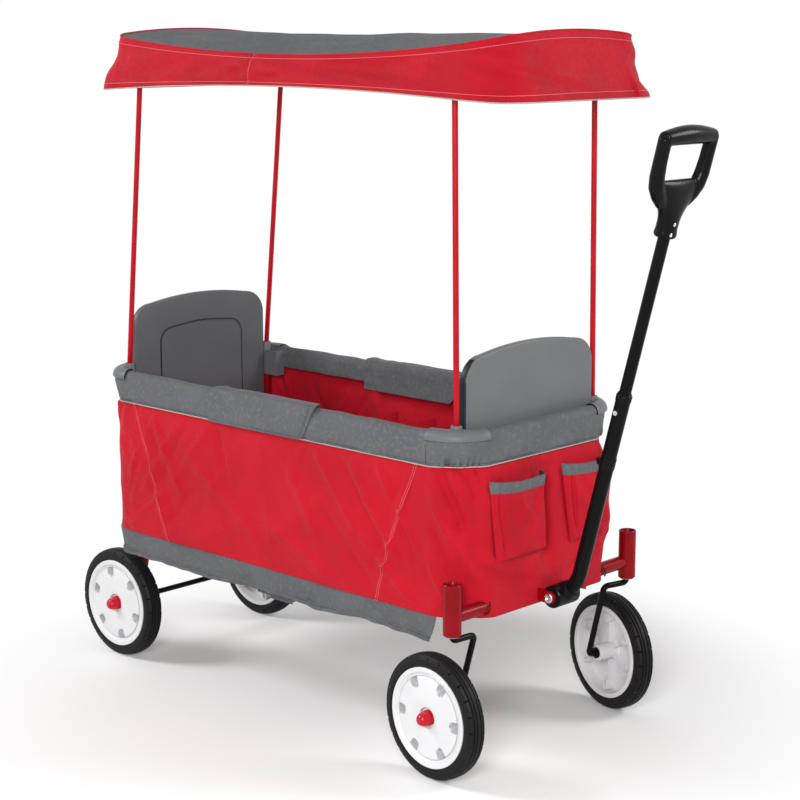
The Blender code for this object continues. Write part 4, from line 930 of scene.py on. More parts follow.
class WAGON_OT_end_frames(Step, bpy.types.Operator):
    """Welded tubes of both ends, with the caster tubes and the handle's ears"""
    bl_idname = "wagon.end_frames"
    bl_label = "End frames"

    def build(self):
        for name, front in ENDS:
            shape = Shape()
            line = end_line(front, HINGE_X - 0.006)
            shape.tube([(x, y, RIM[2]) for x, y in line[0]], 0.009, 16)
            for side in (1, -1):
                shape.tube(self.post(front, side), POST_R, 20)
            foot = self.post(front, 1)[-1]
            shape.tube([foot, (foot[0], -foot[1], foot[2])], POST_R, 20)
            rod_x = mirrored(HINGE_X, front)
            shape.tube([(rod_x, -0.152, FLOOR_Z), (rod_x, 0.152, FLOOR_Z)], 0.004, 16)
            for side in (1, -1):
                self.bracket(shape, front, side)
                seat = mirrored(SEAT_X, front)
                shape.tube([(seat, side * y, SEAT_PIN_Z) for y in (0.157, POST[1])], 0.009, 20)
            if front:
                self.front_parts(shape)
            else:
                for side in (1, -1):
                    shape.tube([(foot[0], side * 0.131, FLOOR_Z), (0, side * 0.131, WHEEL_R)], 0.009, 20)
                    shape.tube([(0, side * 0.12, WHEEL_R), (0, side * 0.142, WHEEL_R)], 0.012, 24)
            shape.make(f"{name}_frame_tubes", f"{name}_end", ["red_enamel", "grey_washer", "plated_steel"],
                       "red_paint", [f"{name}_frame"], 32)

    def post(self, front, side):
        corner = CORNER_R[front]
        heart = Vector((RIM[0] - corner, RIM[1] - corner))
        lean = heart + (Vector(POST) - heart).normalized() * corner
        path = rounded([(lean.x, lean.y, RIM[2]), (*POST, RIM[2] - 0.035), (*POST, FLOOR_Z)], 0.012)
        return [(mirrored(x, front), side * y, z) for x, y, z in path]

    def bracket(self, shape, front, side):
        """The flat lug between the floor's hinge rod and the post."""
        near, far = sorted((mirrored(HINGE_X - 0.007, front), mirrored(POST[0], front)))
        ring = [(near + 0.002, -0.007), (far, -0.007), (far, 0.007), (near + 0.002, 0.007), (near, 0.005),
                (near, -0.005)]
        shape.capped([[(x, side * y, FLOOR_Z + z) for x, z in ring] for y in (0.15, 0.154)])

    def front_parts(self, shape):
        reach = CASTER[1] - 0.004
        shape.tube([(CROSS_X, -reach, FLOOR_Z), (CROSS_X, reach, FLOOR_Z)], CROSS_R, 32)
        radius, low, high = CASTER_TUBE
        for side in (1, -1):
            place = Matrix.Translation((CASTER[0], side * CASTER[1], 0)) @ Matrix.Rotation(pi / 2, 4, "X")
            profile = [(0.006, low), (radius - 0.001, low), (radius, low + 0.001), (radius, high - 0.0008),
                       (radius - 0.0006, high), (radius - 0.002, high), (radius - 0.0026, high - 0.001),
                       (radius - 0.0028, high - 0.0155), (0.006, high - 0.0158), (0.006, low)]
            shape.lathe(profile, place, 48)
            shape.lathe(washer(0.0062, 0.0105, low - 0.002, low - 0.0002), place, 32, look=1)
            bush = mm((5.2, -15.8), (10, -15.8), (9.6, -11.5), (5.2, -11), (5.2, -15.8))
            shape.lathe([(r, high + y) for r, y in bush], place, 32, look=1)
            shape.tube([(POST[0], side * 0.1, FLOOR_Z), (CROSS_X, side * 0.1, FLOOR_Z)], 0.007, 20)
            self.ear(shape, side)

    def ear(self, shape, side):
        """One of the two plates that hold the handle's bolt, with softened edges."""
        outline = [(CROSS_X, FLOOR_Z - 0.01)]
        outline += [(PIVOT[0] + x, PIVOT[1] + z) for x, z in arc(0.0105, -pi / 2, pi / 2, 13)]
        outline.append((CROSS_X, FLOOR_Z + 0.01))
        rows = []
        for y, long, tall in ((0.0261, 0.98, 0.936), (0.0266, 1, 1), (0.0296, 1, 1), (0.0301, 0.98, 0.936)):
            rows.append([(CROSS_X + (x - CROSS_X) * long, side * y, FLOOR_Z + (z - FLOOR_Z) * tall)
                         for x, z in outline])
        shape.capped(rows)


class WAGON_OT_carried_parts(Step, bpy.types.Operator):
    """New finishes for the part's own nodes that stay in view"""
    bl_idname = "wagon.carried_parts"
    bl_label = "Rails and floor tubes"

    def build(self):
        rails = [f"{side}_{end}_rail" for side, _ in SIDES for end, _ in ENDS]
        looks = {"red_enamel": ["floor_centre_beam", "front_floor_frame", "rear_floor_frame", *rails],
                 "plated_steel": ["handle_snap_button"]}
        for look, nodes in looks.items():
            for node in nodes:
                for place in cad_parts[node].material_slots:
                    place.material = finish_of(look)


def tub_folds(u, z, seed):
    """Soft folds of a hanging wall: broad sags, narrow drags and the flat strip under the band."""
    depth = sizes().folds
    free = soft((RED_FREE - z) / 0.035) * soft((z - RED_LOW) / 0.02 + 0.25)
    broad = soft_noise(u * 6.0 + z * 2.5, z * 3.5, seed)
    drags = soft_noise(u * 19.0 - z * 5.0, z * 5.0, seed + 7)
    sharp = 1 - np.abs(soft_noise(u * 11.0 + z * 6.0, z * 4.0, seed + 13))
    return depth * free * (0.55 * broad + 0.2 * drags + 0.28 * (sharp ** 3 - 0.35))


def gathers(u, z, seed, edge, reach=0.045, pitch=0.017):
    """Short puckers that fade away from a sewn edge."""
    fade = soft(1 - np.abs(z - edge) / reach) * soft((edge - z) / 0.011)
    run = soft_noise((u + (edge - z) * 0.35) / pitch, 3.0, seed)
    strength = soft(soft_noise(u * 9.0, 0.0, seed + 3) * 0.8 + 0.6)
    return sizes().puckers * fade * run * strength


def under_edge(z):
    """0 at the sewn upper edge of the red cloth and 1 a little below it."""
    return soft((RED_FREE - z) / 0.012)


ROLL = mm((0, 3.2), (-0.4, 1.6), (-1.4, 0.4), (-3, 0), (-12, 0), (-21.5, 0))


class WAGON_OT_tub(Step, bpy.types.Operator):
    """The tub's red walls with their folds, seams and bottom flaps"""
    bl_idname = "wagon.tub"
    bl_label = "Tub cloth"

    # Folds as (u, z) to (u, z), width and depth, in millimetres
    DRAGS = ((243, 468, 145, 288, 10, 7.4), (236, 405, 168, 276, 8, -5.4), (222, 484, 150, 345, 8, -5.4),
             (200, 484, 160, 395, 8, 5.4), (246, 360, 190, 268, 10, 5.6), (176, 474, 165, 300, 9, 4.4),
             (160, 345, 60, 300, 9, 4), (150, 318, 30, 284, 8, -3.2), (12, 470, 4, 300, 13, -6),
             (168, 484, 152, 430, 7, -3.6), (232, 484, 180, 400, 7, 4), (135, 486, 145, 440, 6, 3))
    REAR_DRAGS = ((150, 478, 178, 265, 12, 2.2), (196, 470, 205, 262, 10, -1.8))
    HINGE_DRAGS = ((760, 480, 690, 262, 9, 2.6), (742, 470, 660, 262, 10, -2.2))
    SIDE_DRAGS = ((540, 482, 640, 360, 9, 5), (590, 484, 700, 330, 8, -4.4),
                  (625, 474, 735, 320, 9, 5.6), (680, 486, 772, 350, 8, 5), (640, 360, 765, 262, 9, 4.6),
                  (560, 380, 680, 262, 11, -4), (300, 484, 330, 390, 12, -4),
                  (420, 340, 600, 262, 14, 3.4), (712, 452, 774, 300, 7, -4),
                  (230, 420, 420, 290, 14, 3.4), (480, 440, 560, 330, 12, 3.4),
                  (130, 474, 215, 330, 12, 3.8))
    SEAM = ((768, 489), (757, 458), (743, 425), (731, 398), (719, 371), (705, 330), (692, 290),
            (680, 251))

    def build(self):
        for name, front in ENDS:
            self.end_wall(name, front)
        self.stub_bindings()
        for name, side in SIDES:
            self.side_wall(name, side)
            self.inner_pockets(name, side)

    def heights(self, step=0.0045):
        return np.linspace(RED_TOP, RED_LOW + 0.0045, ceil((RED_TOP - RED_LOW) / step))

    def rolled(self, line, last):
        """The wall's lower edge, which turns under from its last free row."""
        outs = [WALL_OUT + (last - WALL_OUT) * (1 - k / 5) + out for k, (out, _) in enumerate(ROLL)]
        return swept(line, outs, [RED_LOW + up for _, up in ROLL])

    def end_wall(self, name, front):
        line = end_line(front, HINGE_X)
        points, _, run = line
        reach = run.max() - np.abs(run)
        on_side = mirrored(HINGE_X + reach, front)
        heights = self.heights()
        outs = []
        for z in heights:
            out = tub_folds(run, z, 3.0 if front else 9.0) + self.corner_drags(run, z, front) * under_edge(z)
            out = out + WALL_OUT + 3.6 * gathers(run, z, 21.0, RED_FREE, 0.06, 0.0125)
            out = out - CORNER_DRAW * corner_pull(line) * soft((z - 0.385) / 0.1)
            out = out - 0.0048 * soft((z - 0.4846) / 0.003)
            beside = np.where(run < 0, self.side_out(on_side, z, 1), self.side_out(on_side, z, -1))
            outs.append(beside + (out - beside) * soft(reach / 0.03))
        rows = np.concatenate([swept(line, outs, heights), self.rolled(line, outs[-1])])
        if front:
            rows[:, :, 0] += swell(rows[:, :, 2], rows[:, :, 1]) * (points[:, 0] > MID_X)
        bottom = []
        for share in np.linspace(0.12, 1.0, 14):
            row = rows[-1].copy()
            row[:, 0] += (mirrored(HINGE_X, front) - row[:, 0]) * share
            bottom.append(row)
        shape = Shape()
        shape.sheet(np.concatenate([rows, bottom]), sizes().cloth, out=1 if front else -1)
        piece = shape.make(f"{name}_wall_cloth", f"{name}_end", "tub_cloth", "red_fabric", [f"{name}_fabric"],
                           60)
        wide = run[-1] - run[0]
        wide * 0.2795 + 0.026

    def stub_bindings(self):
        """Dark bound edges where the cross tube leaves the front wall."""
        shape = Shape()
        for side in (1, -1):
            arch = [(CROSS_X + x + 0.001, side * (0.1435 - 0.47 * z), FLOOR_Z + z)
                    for x, z in arc(0.0128, -0.9, pi + 0.9, 30)]
            shape.tube(arch, 0.0011, 8)
        shape.make("front_stub_bindings", "front_end", "dark_binding", "red_fabric", smooth=60)

    def inner_pockets(self, name, side):
        """Two small pockets on the inner face of a side wall."""
        shape = Shape()
        for start, stop in ((0.33, 0.366), (0.383, 0.458)):
            share = np.linspace(0, 1, 24)
            rows = []
            for up in np.linspace(0, 1, 16):
                gape = (0.003 + 0.017 * up) * np.sqrt(np.sin(pi * share))
                rows.append(xyz(start + (stop - start) * share, side * (RIM[1] - 0.004 - gape),
                                0.33 + 0.112 * up + 0.014 * share * up))
            shape.sheet(rows, 0.0008, out=side)
        piece = shape.make(f"{name}_inner_pockets", "rear_end", "tub_cloth", "red_fabric", (), 60, fold_side)

    def corner_drags(self, run, z, front):
        """Sharper folds that run down to the lower corners and over the cross tube."""
        table, share = (self.DRAGS, 1.45) if front else (self.REAR_DRAGS, 1.0)
        return creases(run, z, table, share) + creases(-run, z, table, share)

    def side_out(self, x, z, side):
        """How far a side wall stands outside the rim's line at points (x, z)."""
        drags = self.side_drags(x, z) * under_edge(z)
        return WALL_OUT + tub_folds(x, z, 31.0 + side) + gathers(x, z, 41.0, RED_FREE) + drags

    def side_wall(self, name, side):
        line = side_line(side, (HINGE_BACK - 0.004, HINGE_X + 0.004))
        x = line[2]
        under = 0.0005 * ((x < HINGE_BACK - 0.0001) | (x > HINGE_X + 0.0001))
        heights = self.heights()
        outs = [self.side_out(x, z, side) - under for z in heights]
        shape = Shape()
        shape.sheet(np.concatenate([swept(line, outs, heights), self.rolled(line, outs[-1])]), sizes().cloth,
                    out=side)
        piece = shape.make(f"{name}_wall_cloth", "rear_end", "tub_cloth", "red_fabric",
                           [f"{name}_side_fabric"],
                           60, fold_side)
        ridge = Shape()
        lines = []
        knots = np.array(mm(*self.SEAM))
        share = np.linspace(0, len(knots) - 1, 70)
        ahead, z = (np.interp(share, range(len(knots)), knots[:, k]) for k in (0, 1))
        for u in (ahead, mirrored(ahead, False) - 0.01):
            y = side * (RIM[1] + self.side_out(u, z, side))
            ridge.tube(xyz(u, y, z), 0.0016, 8)
            lines += [xyz(u + shift, y + side * 0.0004, z) for shift in (-0.002, 0.002)]
        ridge.make(f"{name}_wall_seams", "rear_end", "tub_cloth", "red_fabric", (), 60, fold_side)
        stitches(f"{name}_wall_stitches", lines, "rear_end", "rose_edge", fold=fold_side)

    def side_drags(self, x, z):
        beyond = 2 * MID_X - x - 0.03
        total = creases(x, z, self.SIDE_DRAGS, 1.5) + creases(beyond, z, self.SIDE_DRAGS, 0.55)
        return total + creases(x, z, self.HINGE_DRAGS) + creases(mirrored(x, False), z, self.HINGE_DRAGS)


def fold_side(piece):
    """Gives a side piece its own copy of its mesh."""
    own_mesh(piece)


def band_profile():
    """(out, height) points of the padded sleeve's skin, and of its lining, both over the rim tube."""
    skin = [(0.0112, BAND_LOW)] + mm((12.1, 490), (12.5, 496), (12.6, 501), (12.7, 506), (12.6, 518))
    skin += [(out, RIM[2] + up) for out, up in arc(0.0122, 0, pi, 13)]
    skin += mm((-12.6, 520.5), (-12.7, 515), (-12.5, 510.5), (-12.1, 506), (-11.2, 503.5))
    lining = mm((-9.6, 506), (-9.7, 518))
    lining += [(-out, RIM[2] + up) for out, up in arc(0.0094, 0, pi, 9)]
    return skin, lining + mm((9.7, 518), (9.6, 489))


class WAGON_OT_bands(Step, bpy.types.Operator):
    """Padded grey sleeves over the rim, with the piping along their lower edge"""
    bl_idname = "wagon.bands"
    bl_label = "Rim bands"

    def build(self):
        for name, front in ENDS:
            self.band(f"{name}_band", end_line(front, HINGE_X + LAP + 0.0006, 0.0015), f"{name}_end",
                      f"{name}_rim_band", False, front)
        for name, side in SIDES:
            self.band(f"{name}_band", side_line(side, (HINGE_BACK - LAP, HINGE_X + LAP), 0.0035), "rear_end",
                      f"{name}_rim_band", True, side > 0)

    def band(self, name, line, body, node, straight, seed):
        run = line[2]
        pull = 0.0 if straight else CORNER_DRAW * corner_pull(line)
        fold = fold_side if straight else None
        skin, lining = band_profile()
        outs, levels = [], []
        for number, (out, z) in enumerate(skin + lining):
            change = self.tucks(line, z, straight) * (out > 0)
            level = z
            if number < len(skin):
                pucker = soft_noise(run / 0.0105, 0.0, 51.0 + seed) * self.tightness(line, straight)
                lump = soft_noise(run * 24.0, z * 30.0, 61.0 + seed)
                low = soft((0.516 - z) / 0.024)
                change = (0.002 * low * pucker + 0.0017 * lump) * (1 if out > 0 else -1) + change
                level = z + 0.0011 * lump * (z > RIM[2])
            outs.append(out + change - pull * min(max((0.522 - z) / 0.034, 0.0), 1.0))
            levels.append(level)
        rows = np.transpose(swept(line, outs, levels), (1, 0, 2))
        shape = Shape()
        shape.grid(rows, closed=True)
        for end in (0, -1):
            shape.end_face(rows[end], len(skin))
        piece = shape.make(name, body, "band_cloth", "grey_fabric", [node], 55)
        if fold:
            fold(piece)
        cord = Shape()
        cord.tube(swept(line, [0.0118 - pull], [PIPING_Z])[0], sizes().piping, 10)
        cord.make(f"{name}_piping", body, "pale_piping", "grey_fabric", (), 60, fold)
        seam = swept(line, [0.0131 - pull], [PIPING_Z + 0.005])
        stitches(f"{name}_stitches", seam, body, fold=fold)

    def tucks(self, line, z, straight):
        """Short sharp folds in the lower third of the band where it turns a corner."""
        if straight:
            return 0.0
        turned = soft(2.4 * np.abs(line[1][:, 0] * line[1][:, 1]))
        lean = line[2] + (z - BAND_LOW) * 0.25 * np.sign(line[2])
        depth = 0.5 + 0.5 * np.sin(lean / 0.0104 * 2 * pi + 1.6 * np.sin(lean / 0.021))
        return -0.0046 * turned * soft((BAND_LOW + 0.021 - z) / 0.014) * depth ** 1.5

    def tightness(self, line, straight):
        """Puckers gather in the corners, where the band turns."""
        if straight:
            return 0.35
        normals = np.abs(line[1])
        return 0.35 + 2.6 * normals[:, 0] * normals[:, 1] * 2


class WAGON_OT_covers(Step, bpy.types.Operator):
    """Padded covers over the middle of both rails"""
    bl_idname = "wagon.covers"
    bl_label = "Centre covers"

    def build(self):
        for name, side in SIDES:
            shape = Shape()
            profile = mm((15.8, 486), (16.2, 495), (16.3, 515), (16, 535), (15, 541), (12.5, 544.8),
                         (8.5, 546.2), (0, 546.5), (-8.5, 546), (-12.5, 544.5), (-15, 540.5),
                         (-15.8, 533), (-15.8, 515), (-15.5, 498), (-15, 490))
            fine = []
            for (a, b), (c, d) in zip(profile, profile[1:]):
                pieces = max(1, ceil(sqrt((a - c) ** 2 + (b - d) ** 2) / 0.004))
                fine += [(a + (c - a) * k / pieces, b + (d - b) * k / pieces) for k in range(pieces)]
            fine.append(profile[-1])
            share = np.linspace(0, 1, 70)
            rows = []
            for out, z in fine:
                far = self.far_end(z, out)
                x = COVER_X[0] + 0.004 * (z - 0.486) / 0.06 + (far - COVER_X[0]) * share
                rear = soft(1 - share / 0.35)
                wrinkle = soft_noise(x * 60.0 + z * 30.0, z * 70.0, 71.0 + side) * (0.0004 + 0.0011 * rear)
                sag = soft_noise(x * 12.0, z * 25.0, 77.0) * 0.0007
                change = wrinkle + sag if out > 0 else np.abs(wrinkle + sag)
                lift = (wrinkle + sag) * (z > 0.541)
                rows.append(xyz(x, side * (RIM[1] + out + change * (abs(out) > 0.009)), z + lift))
            shape.sheet(rows, 0.0024, out=-side, under=1)
            piece = shape.make(f"{name}_cover", "frame_middle", ["band_cloth", "dark_lining"], "grey_fabric",
                               [f"{name}_centre_cover"], 55)
            slant = [(self.far_end(z, out) - 0.006, side * (RIM[1] + out + 0.0012), z)
                     for out, z in fine if out > 0.012]
            hem = [(x, side * (RIM[1] + 0.017), 0.4905) for x in np.linspace(COVER_X[0], 0.498, 40)]
            stitches(f"{name}_cover_stitches", [slant, hem], "frame_middle")

    def far_end(self, z, out):
        """Slanted front end of a cover at a height, rounded at its lower corner and drawn back inside."""
        up = (z - 0.486) / (COVER_TOP - 0.486)
        return 0.519 + 0.026 * up - 0.012 * (1 - min(up / 0.22, 1.0)) ** 2 - 0.5 * max(0.015 - out, 0.0)


class WAGON_OT_skirts(Step, bpy.types.Operator):
    """Grey skirts that hang below the red walls, and the plates of the middle joint behind them"""
    bl_idname = "wagon.skirts"
    bl_label = "Skirts"

    def build(self):
        shape = Shape()
        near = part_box("rear_floor_board")[1].y + 0.0008
        for side in (1, -1):
            for x0, x1, z0, z1 in ((0.366, 0.458, 0.193, 0.212), (0.398, 0.452, 0.188, 0.193),
                                   (0.41, 0.445, 0.212, 0.262)):
                low, high = sorted((side * near, side * (near + 0.0018)))
                shape.block((x0, low, z0), (x1, high, z1))
            low, high = sorted((side * 0.14, side * (near + 0.0018)))
            shape.block((0.424, low, 0.255), (0.431, high, 0.259))
        # The plates use the same darker moulding as the rear seat back.
        shape.make("middle_joint_plates", "frame_middle", "deep_moulding", "grey_plastic")
        for name, side in SIDES:
            share = np.linspace(0, 1, 180)
            rows = []
            for down in np.linspace(0, 1, 11):
                z = SKIRT_TOP + (SKIRT[2] - SKIRT_TOP) * down
                far = SKIRT[1] - 0.016 * down
                near = SKIRT[0] + 0.004 * down
                x = near + (far - near) * share
                wave = soft_noise(x * 11.0 + down, down * 0.4, 81.0 + side) * 0.0085
                wave += soft_noise(x * 31.0 + down * 1.5, down * 0.8, 85.0 + side) * 0.0036
                low = z + soft_noise(x * 7.0, 0.0, 87.0) * 0.0012 * down
                turn = CORNER_R[False]
                beyond = np.clip(2 * MID_X - RIM[0] + turn - x, 0, turn)
                tuck = 0.5 * (turn - np.sqrt(turn ** 2 - beyond ** 2))
                out = RIM[1] + 0.0058 + wave * down ** 1.2 - tuck
                rows.append(xyz(x, side * out, low))
            hem = rows[-1] + np.array((0, -side * 0.0012, 0.0004))
            shape = Shape()
            shape.sheet([*rows, hem, hem + np.array((0, 0, 0.01))], 0.0008, out=side)
            piece = shape.make(f"{name}_skirt_cloth", "rear_end", "band_cloth", "grey_fabric",
                               [f"{name}_skirt"], 60)
            fold_side(piece)
            line = rows[-1] + np.array((0, side * 0.0004, 0.0072))
            stitches(f"{name}_skirt_stitches", [line], "rear_end", fold=fold_side)


class WAGON_OT_pockets(Step, bpy.types.Operator):
    """Two cloth pockets on the front wall, with grey trim"""
    bl_idname = "wagon.pockets"
    bl_label = "Pockets"

    LOW, HIGH = 0.332, 0.4615
    # Folds across the pocket's width and height, with width and depth, in thousandths
    FOLDS = ((130, 980, 150, 50, 30, -6), (300, 130, 800, 90, 50, 5.6), (860, 850, 550, 200, 80, -4.4),
             (350, 800, 750, 400, 100, 4.2))

    def build(self):
        for name, side in SIDES:
            face = RIM[0] + WALL_OUT + 0.0012
            share = 0.5 - 0.5 * np.cos(pi * np.linspace(0, 1, 56))
            rise = np.linspace(0, 1, 40) ** 1.2
            rows = [self.row(share, up, side, face, 0.0) for up in rise]
            shape = Shape()
            shape.sheet(rows, 0.001, out=1, under=1)
            piece = shape.make(f"front_{name}_pocket_cloth", "front_end", ["tub_cloth", "dark_lining"],
                               "red_fabric",
                               [f"front_{name}_pocket"], 60)
            levels = [(up, 0.0009) for up in np.linspace(0.86, 1.0, 7)] + [(1.0, -0.0012), (0.9, -0.0022)]
            trim_rows = [self.row(share, up, side, face, extra) for up, extra in levels]
            trim_rows[-2][:, 2] += 0.0006
            trim = Shape()
            trim.sheet(trim_rows, 0.0006, out=1)
            piece = trim.make(f"front_{name}_pocket_trim", "front_end", "band_cloth", "grey_fabric",
                              smooth=60)

    def row(self, share, up, side, face, extra):
        """One level of the pocket, from its -Y edge to its +Y edge."""
        z = self.LOW + (self.HIGH - self.LOW) * up
        narrow = (1 - up) ** 1.2
        first, last = (-0.131 + 0.004 * narrow, -0.013) if side < 0 else (0.043 + 0.01 * narrow, 0.158)
        y = first + (last - first) * share
        boxed = np.minimum(1.0, 1.7 * np.sqrt(np.maximum(np.sin(pi * share), 0)))
        depth = (0.011 + 0.009 * up ** 0.7) * (0.42 + 0.7 * share) * soft(up / 0.055 + 0.02)
        folds = 0.003 * soft_noise(share * 4.0 + up, up * 3.0, 91.0 + side) + creases(share, up, self.FOLDS)
        sag = 0.005 * np.sin(pi * share) * up ** 3
        z = z - sag + 0.004 * share * (1 - up)
        bend = CORNER_R[True] + WALL_OUT
        away = np.maximum(np.abs(y) - (RIM[1] - CORNER_R[True]), 0.0)
        x = face + np.sqrt(bend ** 2 - away ** 2) - bend + swell(z, y)
        x = x + boxed * (depth + folds * soft(up / 0.1)) + extra * soft(boxed * 2)
        return xyz(x, y, z)


class WAGON_OT_corner_caps(Step, bpy.types.Operator):
    """Moulded saddles over the rim's corners, with the sockets of the canopy poles"""
    bl_idname = "wagon.corner_caps"
    bl_label = "Corner caps"

    def build(self):
        for end, front in ENDS:
            for name, side in SIDES:
                self.cap(f"{end}_{name}_corner_cap", front, side)

    def cap(self, node, front, side):
        corner = CORNER_R[front]
        heart = Vector((RIM[0] - corner, RIM[1] - corner))
        low, high = (0.02, 1.6) if front else (-0.03, 1.74)
        turns = np.linspace(low, high, 40)
        section = [(0.0142, -0.002)]
        section += arc(0.0157, -0.04, 2.25, 16)
        skin = len(section)
        section += arc(0.013, 2.25, -0.16, 14)
        rows = []
        for number, turn in enumerate(turns):
            near = min(number, len(turns) - 1 - number)
            lift = 1.0 if near > 2 else (0.86, 0.93, 0.98)[near]
            row = []
            for out, up in section:
                size = sqrt(out * out + up * up)
                scale = (0.013 + (size - 0.013) * lift) / size if size > 0.0131 else 1.0
                flat = heart + Vector((cos(turn), sin(turn))) * (corner + out * scale)
                row.append((mirrored(flat.x, front), side * flat.y, RIM[2] + up * scale))
            rows.append(row)
        shape = Shape()
        shape.grid(rows, closed=True)
        for end in (rows[0], rows[-1]):
            shape.end_face(end, skin, look=1)
        spot = (mirrored(POST[0], front), side * POST[1], 0)
        place = Matrix.Translation(spot) @ Matrix.Rotation(pi / 2, 4, "X")
        hole = 0.0053 if front else 0.0064
        boss = [(hole, 0.5325), (0.0098, 0.5325), (0.0098, 0.54), (0.0094, 0.5425), (0.009, 0.548),
                (0.0084, 0.5495), (hole + 0.0008, 0.55), (hole, 0.549), (hole, 0.5325)]
        shape.lathe(boss, place, 36)
        if not front:
            for x0, x1, reach in ((0.012, 0.02, 0.176), (0.02, 0.061, 0.16), (0.061, 0.07, 0.176)):
                low, high = sorted((side * (0.1575 if x0 == 0.02 else 0.156), side * reach))
                shape.block((x0, low, 0.488), (x1, high, 0.534))
        shape.make(f"{node}_moulded", "front_end" if front else "rear_end", ["grey_moulding", "shaded_edge"],
                   "grey_plastic", [node], 40)


def slab(name, outlines, thick, edge, place, smooth=45, resolution=4):
    """A plate cut to flat outlines, the first outside and the others holes, with round edges."""
    curve = bpy.data.curves.new(name, "CURVE")
    curve.dimensions = "2D"
    curve.fill_mode = "BOTH"
    curve.extrude = max(thick / 2 - edge, 0.00005)
    curve.bevel_depth = edge
    curve.bevel_resolution = resolution
    curve.offset = -edge
    for outline in outlines:
        spline = curve.splines.new("POLY")
        spline.points.add(len(outline) - 1)
        for point, (x, y) in zip(spline.points, outline):
            point.co = (x, y, 0, 1)
        spline.use_cyclic_u = True
    piece = linked(name, curve)
    graph = bpy.context.evaluated_depsgraph_get()
    mesh = bpy.data.meshes.new_from_object(piece.evaluated_get(graph), depsgraph=graph)
    bpy.data.objects.remove(piece)
    mesh.transform(Matrix.Translation(AXLE) @ place)
    mesh.materials.clear()
    tidy(mesh, smooth)
    return mesh


def arc_outline(corners, steps=12):
    """A closed outline from (x, y, radius) corners."""
    spots = [Vector(corner[:2]) for corner in corners]
    out = []
    for k, corner in enumerate(corners):
        out += fillet(spots[k - 1], spots[k], spots[(k + 1) % len(spots)], corner[2], steps)
    return [tuple(spot) for spot in out]


class WAGON_OT_seats(Step, bpy.types.Operator):
    """Moulded seat backs with the bead of a shallow panel"""
    bl_idname = "wagon.seats"
    bl_label = "Seat backs"

    def build(self):
        for end, front in ENDS:
            x = mirrored(SEAT_X, front)
            upright = Matrix(((0, 0, 1, 0), (1, 0, 0, 0), (0, 1, 0, 0), (0, 0, 0, 1)))
            place = Matrix.Translation((x, 0, 0)) @ upright
            mesh = slab(f"{end}_seat_moulded", [self.outline()], 0.0138, 0.0035, place, 40)
            # The rear seat back takes the darker copy of the moulding: painted shade, as it sits under the
            # canopy behind the front seat.
            tone = "grey_moulding" if front else "deep_moulding"
            for look in (tone, "shaded_edge"):
                mesh.materials.append(finish_of(look))
            for face in mesh.polygons:
                centre = face.center - AXLE
                on_side = abs(face.normal.y) > 0.45 and abs(centre.y) > 0.12
                if front and on_side and centre.z < SEAT_Z[1] - 0.014:
                    face.material_index = 1
            piece = linked(f"{end}_seat_moulded", mesh)
            settle(piece, f"{end}_seat", [f"{end}_seat_back"])
            inside = -1 if front else 1
            shape = Shape()
            panel = arc_outline([(-0.097, 0.38, 0.012), (0.097, 0.38, 0.012), (0.097, 0.602, 0.026),
                                 (0.0, 0.612, 0.3), (-0.097, 0.602, 0.026)], 10)
            self.ridge(shape, [(x + inside * 0.0069, y, z) for y, z in panel], 0.0011, 1)
            inner = [(y * 0.985, 0.49 + (z - 0.49) * 0.986) for y, z in panel]
            self.ridge(shape, [(x + inside * 0.007, y, z) for y, z in inner], 0.0008)
            for side in (1, -1):
                shape.tube([(x, side * y, SEAT_PIN_Z) for y in (0.15, 0.1595)], 0.004, 16)
            shape.make(f"{end}_seat_lines", f"{end}_seat", [tone, "shaded_edge"], "grey_plastic")

    def outline(self):
        corner, drop = 0.042, 0.01
        crown = SEAT_HALF_W - corner
        side = [(crown + y, SEAT_Z[1] - drop - corner + z) for y, z in arc(corner, 0, pi / 2, 14)]
        top = [(crown * s, SEAT_Z[1] - drop * s * s) for s in np.linspace(0.9, -0.9, 19)]
        foot = [(-SEAT_HALF_W, SEAT_Z[0]), (SEAT_HALF_W, SEAT_Z[0])]
        return foot + side + top + [(-y, z) for y, z in reversed(side)]

    def ridge(self, shape, line, radius, look=0):
        """A closed half buried bead."""
        points = [Vector(point) for point in line]
        rows = []
        for k, point in enumerate(points):
            ahead = (points[(k + 1) % len(points)] - points[k - 1]).normalized()
            side = ahead.cross(Vector((1, 0, 0))).normalized()
            rows.append([tuple(point + (side * cos(a) * 1.5 + Vector((1, 0, 0)) * sin(a)) * radius)
                         for a in np.linspace(0, 2 * pi, 8, endpoint=False)])
        shape.grid(rows + [rows[0]], closed=True, look=look)


